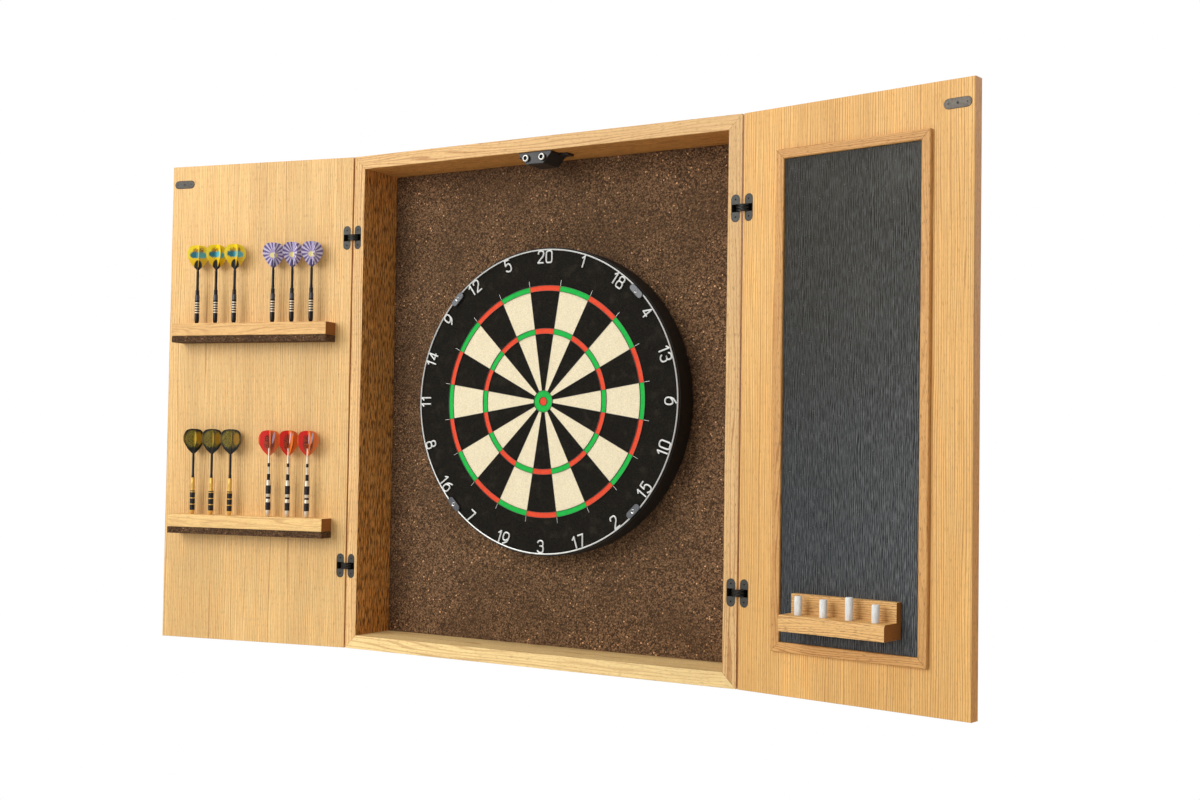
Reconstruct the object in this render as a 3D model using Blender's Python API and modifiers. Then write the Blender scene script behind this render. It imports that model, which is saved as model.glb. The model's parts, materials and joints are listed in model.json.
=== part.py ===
"""Wall-hung dart board cabinet: a mitred oak frame with a cork-lined back, two doors on concealed hinges,
a bristle board, two dart racks with twelve darts, a chalkboard and a chalk holder.

World frame: +X right, -Y out of the wall, +Z up, origin in the middle of the back, on the wall's surface.
The doors stand open, as the cabinet is used. Metres throughout.
"""

import math

import bmesh
import bpy
from mathutils import Matrix, Vector

# ---------------------------------------------------------------- driving dimensions
CLEARANCE = 0.0003  # between pieces that touch

CABINET_WIDTH = 0.666
CABINET_HEIGHT = 0.763
CABINET_DEPTH = 0.100
FRAME_THICKNESS = 0.0205
CORK_THICKNESS = 0.010
BACK_THICKNESS = 0.0094

DOOR_THICKNESS = 0.018
DOOR_GAP = 0.002  # door to frame, and door to door
LEFT_DOOR_ANGLE = 168.7  # degrees open from closed
RIGHT_DOOR_ANGLE = 170.3

HINGE_FROM_END = 0.1265  # hinge centre to the cabinet's top or bottom
CUP_WIDTH = 0.0124
CUP_HEIGHT = 0.037
CUP_COVER = 0.003  # wood left behind a cup
CUP_WALL = 0.0006
CUP_FLOOR = 0.001
CUP_INSET = 0.009  # cup centre to the edge of its board
SLOT_HEIGHT = 0.0105
HINGE_SCREW_SPACING = 0.0235
HINGE_SCREW_RADIUS = 0.0012
HINGE_SCREW_DEPTH = 0.004
PIN_RADIUS = 0.0010
PIN_PLAY = 0.0001
PIN_SEAT = 0.0018  # how far a pin's end goes into the cup
ARM_RATIO = 0.48  # arm turn over door turn
ARM_HALF_WIDTH = 0.0011
LEAF_THICKNESS = 0.0017
LEAF_GAP = 0.0003

STRIKE_LENGTH = 0.037
STRIKE_WIDTH = 0.0125
STRIKE_THICKNESS = 0.0018
STRIKE_PROUD = 0.0006
STRIKE_FROM_FREE_EDGE = 0.0225

CATCH_TOP_WIDTH = 0.055
CATCH_BOTTOM_WIDTH = 0.029
CATCH_HEIGHT = 0.0175
CATCH_LENGTH = 0.041
CATCH_SETBACK = 0.004  # front face behind the frame's front edge
CATCH_WALL = 0.003
EAR_LENGTH = 0.014
EAR_THICKNESS = 0.003
EAR_SLOT_LENGTH = 0.008
EAR_SLOT_WIDTH = 0.0038
PLUNGER_SPACING = 0.0275
PLUNGER_RADIUS = 0.0054
PLUNGER_LENGTH = 0.034
PLUNGER_DIMPLE = 0.0012  # depth of the hollow in the tip
PLUNGER_ROUNDING = 0.0006
PLUNGER_PLAY = 0.0003
STRIKE_AIR = 0.0008  # plunger tip to strike plate with the door shut

BOARD_RADIUS = 0.2255
BOARD_THICKNESS = 0.038
BOARD_STANDOFF = 0.0044  # back of the board to the cork
BAND_THICKNESS = 0.0008
WIRE_WIDTH = 0.0012
WIRE_THICKNESS = 0.0010
DOUBLE_RADIUS = 0.170
RING_WIDTH = 0.008
TRIPLE_RADIUS = 0.107
BULL_RADIUS = 0.0159
WIRE_OVERHANG = 0.008  # radial wires past the double ring
SECTORS = 20
NUMBER_RING_RADIUS = 0.2235
NUMBER_RING_WIDTH = 0.0024
NUMBER_RING_THICKNESS = 0.0024
BRACKET_RADIUS = 0.045
HUB_RADIUS = 0.0115
HUB_LENGTH = 0.008
HUB_PLAY = 0.0004
BRACKET_SCREW_RADIUS = 0.0022
BRACKET_SCREW_CIRCLE = 0.032

RACK_MARGIN = 0.026  # rack end to the door's edge
RACK_DEPTH = 0.030
RAIL_HEIGHT = 0.020
RACK_CORK_HEIGHT = 0.010
UPPER_RACK_TOP = 0.1225
LOWER_RACK_TOP = -0.1825
DART_PITCH = 0.0345
DART_SET_SPACING = 0.1395  # middle of one set of three to the middle of the next
POINT_RADIUS = 0.0011
POINT_LENGTH = 0.027
POINT_TAPER = 0.005
POINT_PLAY = 0.0004
TAIL_RADIUS = 0.0017
FLIGHT_HALF_WIDTH = 0.017
FLIGHT_LENGTH = 0.040
FLIGHT_ROOT = 0.0016  # half width where it meets the stem
FLIGHT_THICKNESS = 0.0005
STEM_IN_FLIGHT = 0.012
TAIL_TAPER = 0.004  # the stem draws in below the flight
SHOULDER_TAPER = 0.008  # top of the barrel down to its full width
SOCKET_TAPER = 0.005  # foot of the stem
NOSE_LENGTH = 0.008
NOSE_ROUND = 0.002

CHALKBOARD_WIDTH = 0.1975  # inside its mouldings
CHALKBOARD_MARGIN = 0.0692  # chalkboard to the cabinet's top or bottom
CHALKBOARD_THICKNESS = 0.002
MOULDING_WIDTH = 0.0125
MOULDING_PROUD = 0.006
HOLDER_LENGTH = 0.150
HOLDER_DEPTH = 0.041
HOLDER_BACK_THICKNESS = 0.011
HOLDER_HEIGHT = 0.045
LEDGE_THICKNESS = 0.0205
LEDGE_ROUNDING = 0.004
HOLDER_ABOVE_EDGE = 0.0195  # underside of the ledge to the chalkboard's lower edge
CHALK_RADIUS = 0.005
CHALK_ROUNDING = 0.0006
CHALK_PLAY = 0.0005
CHALK_PITCH = 0.0366
CHALK_HOLE_DEPTH = 0.012
CHALK_HEIGHTS = (0.0240, 0.0225, 0.0280, 0.0220)  # above the ledge

# name, barrel radius, barrel length, stem radius, stem length, colour
DART_SETS = {
    "yellow": (0.0037, 0.050, 0.0021, 0.037, (0.90, 0.72, 0.05)),
    "violet": (0.0037, 0.050, 0.0021, 0.037, (0.45, 0.38, 0.62)),
    "brass": (0.0041, 0.0585, 0.0019, 0.038, (0.32, 0.30, 0.06)),
    "red": (0.0040, 0.0575, 0.0020, 0.038, (0.80, 0.10, 0.05)),
}
DART_TWISTS = (45.0, 54.0, 38.0)  # degrees, so that each flight clears the door

# ---------------------------------------------------------------- worked-out values
FRONT = -CABINET_DEPTH  # front edges of the frame
CORK_FACE = -(BACK_THICKNESS + CLEARANCE + CORK_THICKNESS)
INNER_WIDTH = CABINET_WIDTH - 2 * FRAME_THICKNESS
INNER_HEIGHT = CABINET_HEIGHT - 2 * FRAME_THICKNESS
DOOR_WIDTH = CABINET_WIDTH / 2 - DOOR_GAP / 2
CUP_DEPTH = DOOR_THICKNESS - CUP_COVER
HINGE_X = CABINET_WIDTH / 2 + DOOR_GAP / 2
HINGE_Y = FRONT - DOOR_GAP / 2
HINGE_Z = CABINET_HEIGHT / 2 - HINGE_FROM_END
WOOD_EDGE = DOOR_GAP / 2  # from a hinge axis to the edge and to the face of the wood
BOARD_BACK = CORK_FACE - BOARD_STANDOFF
BOARD_FRONT = BOARD_BACK - BOARD_THICKNESS
CATCH_TOP = INNER_HEIGHT / 2 - CLEARANCE
PLUNGER_DROP = CATCH_HEIGHT / 2
PLUNGER_Z = CATCH_TOP - PLUNGER_DROP
HOLE_SIDES = 12

PARTS = "dart_board_cabinet"
CUTTERS = "cutters"


# ---------------------------------------------------------------- scene helpers
def clear_scene():
    for obj in list(bpy.data.objects):
        bpy.data.objects.remove(obj, do_unlink=True)
    for name in (PARTS, CUTTERS):
        collection = bpy.data.collections.new(name)
        bpy.context.scene.collection.children.link(collection)
        collection.hide_render = name == CUTTERS


def finish(name, colour, roughness, metallic=0.0):
    """A plain Principled material, made once for each name."""
    material = bpy.data.materials.get(name) or bpy.data.materials.new(name)
    material.use_nodes = True
    shader = material.node_tree.nodes["Principled BSDF"]
    shader.inputs["Base Color"].default_value = (*colour, 1.0)
    shader.inputs["Roughness"].default_value = roughness
    shader.inputs["Metallic"].default_value = metallic
    material.diffuse_color = (*colour, 1.0)
    return material


def oak():
    return finish("oak", (0.78, 0.56, 0.31), 0.5)


def cork():
    return finish("cork", (0.16, 0.10, 0.07), 0.9)


def dark_metal():
    return finish("dark_metal", (0.12, 0.12, 0.12), 0.45, 1.0)


def black_plastic():
    return finish("black_plastic", (0.02, 0.02, 0.02), 0.4)


def steel_wire():
    return finish("steel_wire", (0.75, 0.75, 0.76), 0.3, 1.0)


def add_object(name, mesh, material=None, parent=None, at=(0, 0, 0), turn=(0, 0, 0)):
    """Puts a mesh in the parts collection. turn holds Euler angles in degrees."""
    obj = bpy.data.objects.new(name, mesh)
    bpy.data.collections[PARTS].objects.link(obj)
    if material and not mesh.materials:
        mesh.materials.append(material)
    obj.parent = parent
    obj.location = at
    obj.rotation_euler = [math.radians(angle) for angle in turn]
    return obj


def empty(name, parent=None, at=(0, 0, 0), turn=(0, 0, 0)):
    obj = bpy.data.objects.new(name, None)
    bpy.data.collections[PARTS].objects.link(obj)
    obj.empty_display_size = 0.02
    obj.parent = parent
    obj.location = at
    obj.rotation_euler = [math.radians(angle) for angle in turn]
    return obj


def remove(obj):
    bpy.data.objects.remove(obj, do_unlink=True)


# ---------------------------------------------------------------- shapes, as meshes
def box_mesh(low, high):
    size = [b - a for a, b in zip(low, high)]
    middle = [(a + b) / 2 for a, b in zip(low, high)]
    bm = bmesh.new()
    bmesh.ops.create_cube(bm, size=1.0, matrix=Matrix.Translation(middle) @ Matrix.Diagonal((*size, 1.0)))
    return to_mesh(bm)


def rod_mesh(radius, low, high, axis="Z", sides=HOLE_SIDES, at=(0, 0, 0)):
    """A cylinder along an axis from low to high, its middle line through the point at."""
    quarter = math.pi / 2
    turn = {"X": Matrix.Rotation(quarter, 4, "Y"), "Y": Matrix.Rotation(-quarter, 4, "X"), "Z": Matrix()}
    along = Matrix.Translation((0, 0, (low + high) / 2))
    bm = bmesh.new()
    bmesh.ops.create_cone(
        bm,
        cap_ends=True,
        segments=sides,
        radius1=radius,
        radius2=radius,
        depth=high - low,
        matrix=Matrix.Translation(at) @ turn[axis] @ along,
    )
    return to_mesh(bm)


def to_mesh(bm):
    mesh = bpy.data.meshes.new("shape")
    bm.to_mesh(mesh)
    bm.free()
    return mesh


def plate_mesh(loops, low, high):
    """Closed outlines in XY, the first one the edge and the rest holes, filled from z low to z high."""
    curve = bpy.data.curves.new("outline", "CURVE")
    curve.dimensions = "2D"
    curve.fill_mode = "BOTH"
    curve.extrude = (high - low) / 2
    for loop in loops:
        spline = curve.splines.new("POLY")
        spline.points.add(len(loop) - 1)
        spline.use_cyclic_u = True
        for point, (x, y) in zip(spline.points, loop):
            point.co = (x, y, 0, 1)
    mesh = evaluated_mesh(bpy.data.objects.new("outline", curve))
    mesh.transform(Matrix.Translation((0, 0, (low + high) / 2)))
    return mesh


def turned_mesh(profile, steps):
    """A profile of (radius, height), top to bottom, spun about Z. It starts on the axis, or is a ring."""
    bm = bmesh.new()
    points = [bm.verts.new((radius, 0, height)) for radius, height in profile]
    for first, second in zip(points, points[1:]):
        bm.edges.new((first, second))
    if profile[0][0] > 0:
        bm.edges.new((points[-1], points[0]))
    obj = bpy.data.objects.new("turned", to_mesh(bm))
    screw = obj.modifiers.new("Screw", "SCREW")
    screw.steps = screw.render_steps = steps
    screw.use_merge_vertices = True
    screw.merge_threshold = 1e-5
    return evaluated_mesh(obj)


def evaluated_mesh(obj):
    """The object's finished shape as a new welded mesh. The object itself is removed."""
    bpy.context.scene.collection.objects.link(obj)
    bpy.context.view_layer.update()
    graph = bpy.context.evaluated_depsgraph_get()
    mesh = bpy.data.meshes.new_from_object(obj.evaluated_get(graph))
    remove(obj)
    bm = bmesh.new()
    bm.from_mesh(mesh)
    bmesh.ops.remove_doubles(bm, verts=bm.verts, dist=1e-6)
    bmesh.ops.recalc_face_normals(bm, faces=bm.faces)
    bm.to_mesh(mesh)
    bm.free()
    return mesh


def combined_mesh(mesh, others, operation):
    """The mesh with others cut from it (DIFFERENCE) or joined to it (UNION)."""
    obj = bpy.data.objects.new("base", mesh)
    tools = []
    for other in others:
        tool = bpy.data.objects.new("tool", other)
        bpy.data.collections[CUTTERS].objects.link(tool)
        tool.hide_render = True
        tool.display_type = "WIRE"
        boolean = obj.modifiers.new("Boolean", "BOOLEAN")
        boolean.operation = operation
        boolean.solver = "EXACT"
        boolean.object = tool
        tools.append(tool)
    result = evaluated_mesh(obj)
    for tool in tools:
        remove(tool)
    return result


def cut(mesh, *cutters):
    return combined_mesh(mesh, cutters, "DIFFERENCE")


def joined(mesh, *others):
    return combined_mesh(mesh, others, "UNION")


def smooth(mesh, degrees=35):
    mesh.shade_smooth()
    mesh.set_sharp_from_angle(angle=math.radians(degrees))
    return mesh


def moved(mesh, matrix):
    copy = mesh.copy()
    copy.transform(matrix)
    return copy


# ---------------------------------------------------------------- outlines
def arc(centre, radius, start, end, steps):
    """Points on an arc, angles in degrees, both ends included."""
    angles = [math.radians(start + (end - start) * i / steps) for i in range(steps + 1)]
    return [(centre[0] + radius * math.cos(a), centre[1] + radius * math.sin(a)) for a in angles]


def circle(radius, sides, start=0.0):
    return arc((0, 0), radius, start, start + 360, sides)[:-1]


def pill(length, width, steps=6):
    """A slot-shaped outline, its length along Y."""
    reach = (length - width) / 2
    return arc((0, reach), width / 2, 0, 180, steps) + arc((0, -reach), width / 2, 180, 360, steps)


UPRIGHT = Matrix.Rotation(math.pi / 2, 4, "X")  # an outline's x, y, z become x, z, -y


# ---------------------------------------------------------------- carcass
def mitred_frame(names, width, height, board, low, high, clearance):
    """Four mitred boards round an upright opening. Gives name to mesh, with y running from low to high."""
    w, h = width / 2, height / 2
    play = clearance / math.sqrt(2)
    long_side = [(-w + play, h), (w - play, h), (w - board - play, h - board), (-w + board + play, h - board)]
    inner = -w + board
    tall_side = [(-w, h - play), (-w, -h + play), (inner, -h + board + play), (inner, h - board - play)]
    outlines = (
        long_side,
        [(x, -z) for x, z in long_side],
        tall_side,
        [(-x, z) for x, z in tall_side],
    )
    return {name: moved(plate_mesh([loop], -high, -low), UPRIGHT) for name, loop in zip(names, outlines)}


def cup_pocket_meshes(matrix_for):
    """Cutters for the two cups of one board. matrix_for(end) places the cup's own frame, end is 1 or -1."""
    outline = pill(CUP_HEIGHT + 2 * CLEARANCE, CUP_WIDTH + 2 * CLEARANCE)
    pocket = plate_mesh([outline], -CUP_DEPTH - CLEARANCE, CUP_DEPTH)
    pocket.transform(Matrix.Translation((WOOD_EDGE + CUP_INSET, WOOD_EDGE, 0)) @ UPRIGHT)
    return [moved(pocket, matrix_for(end)) for end in (1, -1)]


def side_flip(side):
    """Turns a left hinge's frame for the cabinet's right-hand side."""
    return Matrix() if side < 0 else Matrix.Rotation(math.pi, 4, "Y")


def carcass():
    names = ("top_board", "bottom_board", "left_side_board", "right_side_board")
    boards = mitred_frame(names, CABINET_WIDTH, CABINET_HEIGHT, FRAME_THICKNESS, FRONT, 0.0, CLEARANCE)
    for name, side in (("left_side_board", -1), ("right_side_board", 1)):

        def place(end, side=side):
            return Matrix.Translation((side * HINGE_X, HINGE_Y, end * HINGE_Z)) @ side_flip(side)

        boards[name] = cut(boards[name], *cup_pocket_meshes(place))
    for name, mesh in boards.items():
        add_object(name, mesh, oak())

    w = INNER_WIDTH / 2 - CLEARANCE
    h = INNER_HEIGHT / 2 - CLEARANCE
    add_object("back_panel", box_mesh((-w, -BACK_THICKNESS, -h), (w, 0, h)), oak())
    cork_back = -BACK_THICKNESS - CLEARANCE
    add_object("cork_panel", box_mesh((-w, CORK_FACE, -h), (w, cork_back, h)), cork())


# ---------------------------------------------------------------- concealed hinges
ARM_REFERENCE = 170.0  # degrees of door opening at which the arm's middle line below holds
ARM_PIN = Vector((0.0065, 0.0041))  # from the door's axis, x towards the wood, y into it
ARM_CREST = Vector((0.0032, -0.0035))
ARM_TIP = Vector((-0.0087, 0.0002))
ARM_POINTS = 6


def hinge_cup_mesh():
    """A cup in its own frame: x across, y into the wood, z up, middle of its face at the origin."""
    body = moved(plate_mesh([pill(CUP_HEIGHT, CUP_WIDTH)], -CUP_DEPTH, 0), UPRIGHT)
    half = CUP_WIDTH / 2 - CUP_WALL
    slot_low = (-half, -CUP_DEPTH, -SLOT_HEIGHT / 2)
    slot = box_mesh(slot_low, (half, CUP_DEPTH - CUP_FLOOR, SLOT_HEIGHT / 2))
    pin_x = ARM_PIN.x - WOOD_EDGE - CUP_INSET
    pin_y = ARM_PIN.y - WOOD_EDGE
    reach = SLOT_HEIGHT / 2 + PIN_SEAT + CLEARANCE
    bore = rod_mesh(PIN_RADIUS + PIN_PLAY, -reach, reach, at=(pin_x, pin_y, 0))
    half_spacing = HINGE_SCREW_SPACING / 2
    screws = [
        rod_mesh(HINGE_SCREW_RADIUS, -CLEARANCE, HINGE_SCREW_DEPTH, "Y", 8, (0, 0, z))
        for z in (half_spacing, -half_spacing)
    ]
    return smooth(cut(body, slot, bore, *screws))


def arm_outline():
    """A curved bar of even width with round ends, from the pin over the edge of the wood to the far cup."""
    bend = 2 * ARM_CREST - (ARM_PIN + ARM_TIP) / 2
    line, normals = [], []
    for i in range(ARM_POINTS + 1):
        t = i / ARM_POINTS
        line.append((1 - t) ** 2 * ARM_PIN + 2 * t * (1 - t) * bend + t * t * ARM_TIP)
        along = (2 * (1 - t) * (bend - ARM_PIN) + 2 * t * (ARM_TIP - bend)).normalized()
        normals.append(Vector((-along.y, along.x)))
    left = [p + n * ARM_HALF_WIDTH for p, n in zip(line, normals)]
    right = [p - n * ARM_HALF_WIDTH for p, n in zip(line, normals)]
    tip = math.degrees(math.atan2(normals[-1].y, normals[-1].x))
    root = math.degrees(math.atan2(-normals[0].y, -normals[0].x))
    tip_round = arc(ARM_TIP, ARM_HALF_WIDTH, tip, tip - 180, 4)[1:-1]
    root_round = arc(ARM_PIN, ARM_HALF_WIDTH, root, root - 180, 4)[1:-1]
    points = [tuple(p) for p in left] + tip_round + [tuple(p) for p in reversed(right)] + root_round
    return [(x - ARM_PIN.x, y - ARM_PIN.y) for x, y in points]


def hinge_arm_mesh(leaves):
    """Leaves on one pin, in the pin's own frame. leaves lists their levels, counted in leaf spacings."""
    pitch = LEAF_THICKNESS + LEAF_GAP
    reach = SLOT_HEIGHT / 2 + PIN_SEAT
    pin = rod_mesh(PIN_RADIUS, -reach, reach)
    bars = [
        plate_mesh([arm_outline()], level * pitch - LEAF_THICKNESS / 2, level * pitch + LEAF_THICKNESS / 2)
        for level in leaves
    ]
    return smooth(joined(pin, *bars))


def hinges(doors):
    """Cups in the frame and in the doors, and the leaved arms between them."""
    cup = hinge_cup_mesh()
    outer_arm = hinge_arm_mesh((-2, 0, 2))
    inner_arm = hinge_arm_mesh((-1, 1))
    for side, side_name, angle in ((-1, "left", LEFT_DOOR_ANGLE), (1, "right", RIGHT_DOOR_ANGLE)):
        arm_turn = (ARM_REFERENCE - angle) * ARM_RATIO
        for end, end_name in ((1, "upper"), (-1, "lower")):
            name = f"{side_name}_{end_name}"
            frame_turn = (0, 0, 0) if side < 0 else (0, 180, 0)
            door_turn = (180, 0, 0) if side < 0 else (0, 0, 180)
            frame_at = (side * HINGE_X, HINGE_Y, end * HINGE_Z)
            halves = (
                ("frame", empty(f"{name}_frame_axis", None, frame_at, frame_turn), outer_arm),
                ("door", empty(f"{name}_door_axis", doors[side], (0, 0, end * HINGE_Z), door_turn), inner_arm),
            )
            for half, axis, arm in halves:
                face = (WOOD_EDGE + CUP_INSET, WOOD_EDGE, 0)
                add_object(f"{name}_hinge_{half}_cup", cup, dark_metal(), axis, face)
                pin = (ARM_PIN.x, ARM_PIN.y, 0)
                add_object(f"{name}_hinge_{half}_arm", arm, dark_metal(), axis, pin, (0, 0, arm_turn))


# ---------------------------------------------------------------- doors
def door_box(side, near, far, low, high):
    """Corners of a box on a door. near and far run from the hinge edge, low and high are (off the face, z)."""
    xs = sorted(-side * (WOOD_EDGE + s) for s in (near, far))
    face = -WOOD_EDGE
    return (xs[0], face + low[0], low[1]), (xs[1], face + high[0], high[1])


def strike_outline(play=0.0):
    return [(z, x) for x, z in pill(STRIKE_LENGTH + 2 * play, STRIKE_WIDTH + 2 * play)]


def door_x(side, distance):
    """Door x of a point this far from the hinge edge."""
    return -side * (WOOD_EDGE + distance)


def door_panel(side, pivot):
    name = "left" if side < 0 else "right"
    half = CABINET_HEIGHT / 2
    panel = box_mesh(*door_box(side, 0, DOOR_WIDTH, (-DOOR_THICKNESS, -half), (0, half)))

    def place(end):
        flip = Matrix.Rotation(math.pi, 4, "X") if side < 0 else Matrix.Rotation(math.pi, 4, "Z")
        return Matrix.Translation((0, 0, end * HINGE_Z)) @ flip

    strike_at = Matrix.Translation((door_x(side, DOOR_WIDTH - STRIKE_FROM_FREE_EDGE), -WOOD_EDGE, PLUNGER_Z))
    depth = STRIKE_THICKNESS - STRIKE_PROUD
    pocket = plate_mesh([strike_outline(CLEARANCE)], -STRIKE_THICKNESS, depth + CLEARANCE)
    strike_pocket = moved(pocket, strike_at @ UPRIGHT)
    add_object(f"{name}_door_panel", cut(panel, *cup_pocket_meshes(place), strike_pocket), oak(), pivot)
    strike = plate_mesh([strike_outline()], -STRIKE_PROUD, depth)
    add_object(f"{name}_strike_plate", moved(strike, strike_at @ UPRIGHT), dark_metal(), pivot)


# ---------------------------------------------------------------- dart racks and darts
def dart_places():
    """Distances of the six holes from the middle of the door, hinge side first."""
    return [
        group * DART_SET_SPACING / 2 + step * DART_PITCH
        for group in (-1, 1)
        for step in (-1, 0, 1)
    ]


def rack(name, pivot, top):
    near, far = RACK_MARGIN, DOOR_WIDTH - RACK_MARGIN
    middle_y = -WOOD_EDGE + CLEARANCE + RACK_DEPTH / 2
    rail_bottom = top - RAIL_HEIGHT
    cork_top = rail_bottom - CLEARANCE
    cork_bottom = cork_top - RACK_CORK_HEIGHT
    layers = (
        (f"{name}_rack_rail", rail_bottom, top, rail_bottom - CLEARANCE, oak()),
        (f"{name}_rack_cork", cork_bottom, cork_top, top - POINT_LENGTH - CLEARANCE, cork()),
    )
    for node, low, high, hole_low, material in layers:
        body = box_mesh(*door_box(-1, near, far, (CLEARANCE, low), (CLEARANCE + RACK_DEPTH, high)))
        holes = [
            rod_mesh(POINT_RADIUS + POINT_PLAY, hole_low, high + CLEARANCE, sides=8,
                     at=(door_x(-1, DOOR_WIDTH / 2 + place), middle_y, 0))
            for place in dart_places()
        ]
        add_object(node, cut(body, *holes), material, pivot)
    return middle_y


def flight_outline():
    """Both vanes of one plate as one outline: a kite with clipped corners, its root at y = 0."""
    w, length = FLIGHT_HALF_WIDTH, FLIGHT_LENGTH
    right = [(FLIGHT_ROOT, 0), (0.55 * w, 0.18 * length), (w, 0.50 * length), (w, 0.74 * length),
             (0.72 * w, 0.95 * length), (0.30 * w, length)]
    return right + [(-x, y) for x, y in reversed(right)]


def dart_mesh(barrel_radius, barrel_length, stem_radius, stem_length):
    """A dart standing on its nose: z = 0 where the nose meets the rail, the point below."""
    stem_top = barrel_length + stem_length
    profile = [
        (0, stem_top + STEM_IN_FLIGHT),
        (TAIL_RADIUS, stem_top + STEM_IN_FLIGHT),
        (stem_radius, stem_top - TAIL_TAPER),
        (stem_radius, barrel_length + SOCKET_TAPER),
        (0.72 * barrel_radius, barrel_length),
        (barrel_radius, barrel_length - SHOULDER_TAPER),
        (barrel_radius, NOSE_LENGTH),
        (0.6 * barrel_radius, NOSE_ROUND),
        (0.5 * barrel_radius, CLEARANCE),
        (POINT_RADIUS, CLEARANCE),
        (POINT_RADIUS, -POINT_LENGTH + POINT_TAPER),
        (0, -POINT_LENGTH),
    ]
    body = turned_mesh(profile, 10)
    vane = plate_mesh([flight_outline()], -FLIGHT_THICKNESS / 2, FLIGHT_THICKNESS / 2)
    rise = Matrix.Translation((0, 0, stem_top)) @ UPRIGHT
    across = Matrix.Rotation(math.pi / 2, 4, "Z") @ rise
    return smooth(joined(body, moved(vane, rise), moved(vane, across)))


def darts(pivot, rack_tops, middle_y):
    """Twelve darts: two sets of three on each rack."""
    sets = (("upper", "violet", "yellow"), ("lower", "red", "brass"))
    for level, near_set, far_set in sets:
        names = [near_set] * 3 + [far_set] * 3
        for index, (name, place) in enumerate(zip(names, dart_places())):
            *sizes, colour = DART_SETS[name]
            number = index % 3 + 1
            shared = bpy.data.meshes.get(f"{name}_dart")
            if shared is None:
                shared = dart_mesh(*sizes)
                shared.name = f"{name}_dart"
            at = (door_x(-1, DOOR_WIDTH / 2 + place), middle_y, rack_tops[level])
            twist = (0, 0, DART_TWISTS[(index + len(name)) % 3])
            add_object(f"{name}_dart_{number}", shared, finish(name, colour, 0.35), pivot, at, twist)


# ---------------------------------------------------------------- chalkboard side
def chalkboard(pivot):
    middle = door_x(1, DOOR_WIDTH / 2)
    height = CABINET_HEIGHT - 2 * CHALKBOARD_MARGIN
    face = -WOOD_EDGE
    board_face = face + CLEARANCE + CHALKBOARD_THICKNESS
    w, h = CHALKBOARD_WIDTH / 2 - CLEARANCE, height / 2 - CLEARANCE
    panel = box_mesh((middle - w, face + CLEARANCE, -h), (middle + w, board_face, h))
    add_object("chalkboard_panel", panel, finish("chalkboard", (0.05, 0.055, 0.06), 0.8), pivot)

    names = [f"chalkboard_{place}_moulding" for place in ("top", "bottom", "left", "right")]
    outer = (CHALKBOARD_WIDTH + 2 * MOULDING_WIDTH, height + 2 * MOULDING_WIDTH)
    boards = mitred_frame(names, *outer, MOULDING_WIDTH, face + CLEARANCE, face + MOULDING_PROUD, CLEARANCE)
    for name, mesh in boards.items():
        add_object(name, moved(mesh, Matrix.Translation((middle, 0, 0))), oak(), pivot)

    ledge_low = -height / 2 + HOLDER_ABOVE_EDGE
    chalk_holder(pivot, middle, board_face + CLEARANCE, ledge_low)


def chalk_holder(pivot, middle, back, low):
    """An L-shaped oak ledge with blind holes, and a stick of chalk in each."""
    front, top = back + HOLDER_DEPTH, low + HOLDER_HEIGHT
    ledge_top = low + LEDGE_THICKNESS
    plate_front = back + HOLDER_BACK_THICKNESS
    r = LEDGE_ROUNDING
    outline = [(back, low), (front, low), *arc((front - r, ledge_top - r), r, 0, 90, 4),
               (plate_front, ledge_top), (plate_front, top), (back, top)]
    body = plate_mesh([outline], -HOLDER_LENGTH / 2, HOLDER_LENGTH / 2)
    # The outline's (y, z) plane stands up across the door, its thickness along x.
    across = Matrix(((0, 0, 1, 0), (1, 0, 0, 0), (0, 1, 0, 0), (0, 0, 0, 1)))
    body = moved(body, Matrix.Translation((middle, 0, 0)) @ across)
    hole_y = (plate_front + front) / 2
    places = [(middle - (i - 1.5) * CHALK_PITCH, hole_y, 0) for i in range(len(CHALK_HEIGHTS))]
    hole_low = ledge_top - CHALK_HOLE_DEPTH
    holes = [rod_mesh(CHALK_RADIUS + CHALK_PLAY, hole_low, top + CLEARANCE, at=place) for place in places]
    add_object("chalk_holder", smooth(cut(body, *holes)), oak(), pivot)
    for number, (place, height) in enumerate(zip(places, CHALK_HEIGHTS), 1):
        stick = turned_mesh(
            [(0, height), (CHALK_RADIUS - CHALK_ROUNDING, height), (CHALK_RADIUS, height - CHALK_ROUNDING),
             (CHALK_RADIUS, CLEARANCE - CHALK_HOLE_DEPTH), (0, CLEARANCE - CHALK_HOLE_DEPTH)], 16)
        chalk_white = finish("chalk", (0.92, 0.92, 0.90), 0.9)
        add_object(f"chalk_{number}", smooth(stick), chalk_white, pivot, (place[0], place[1], ledge_top))


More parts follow.
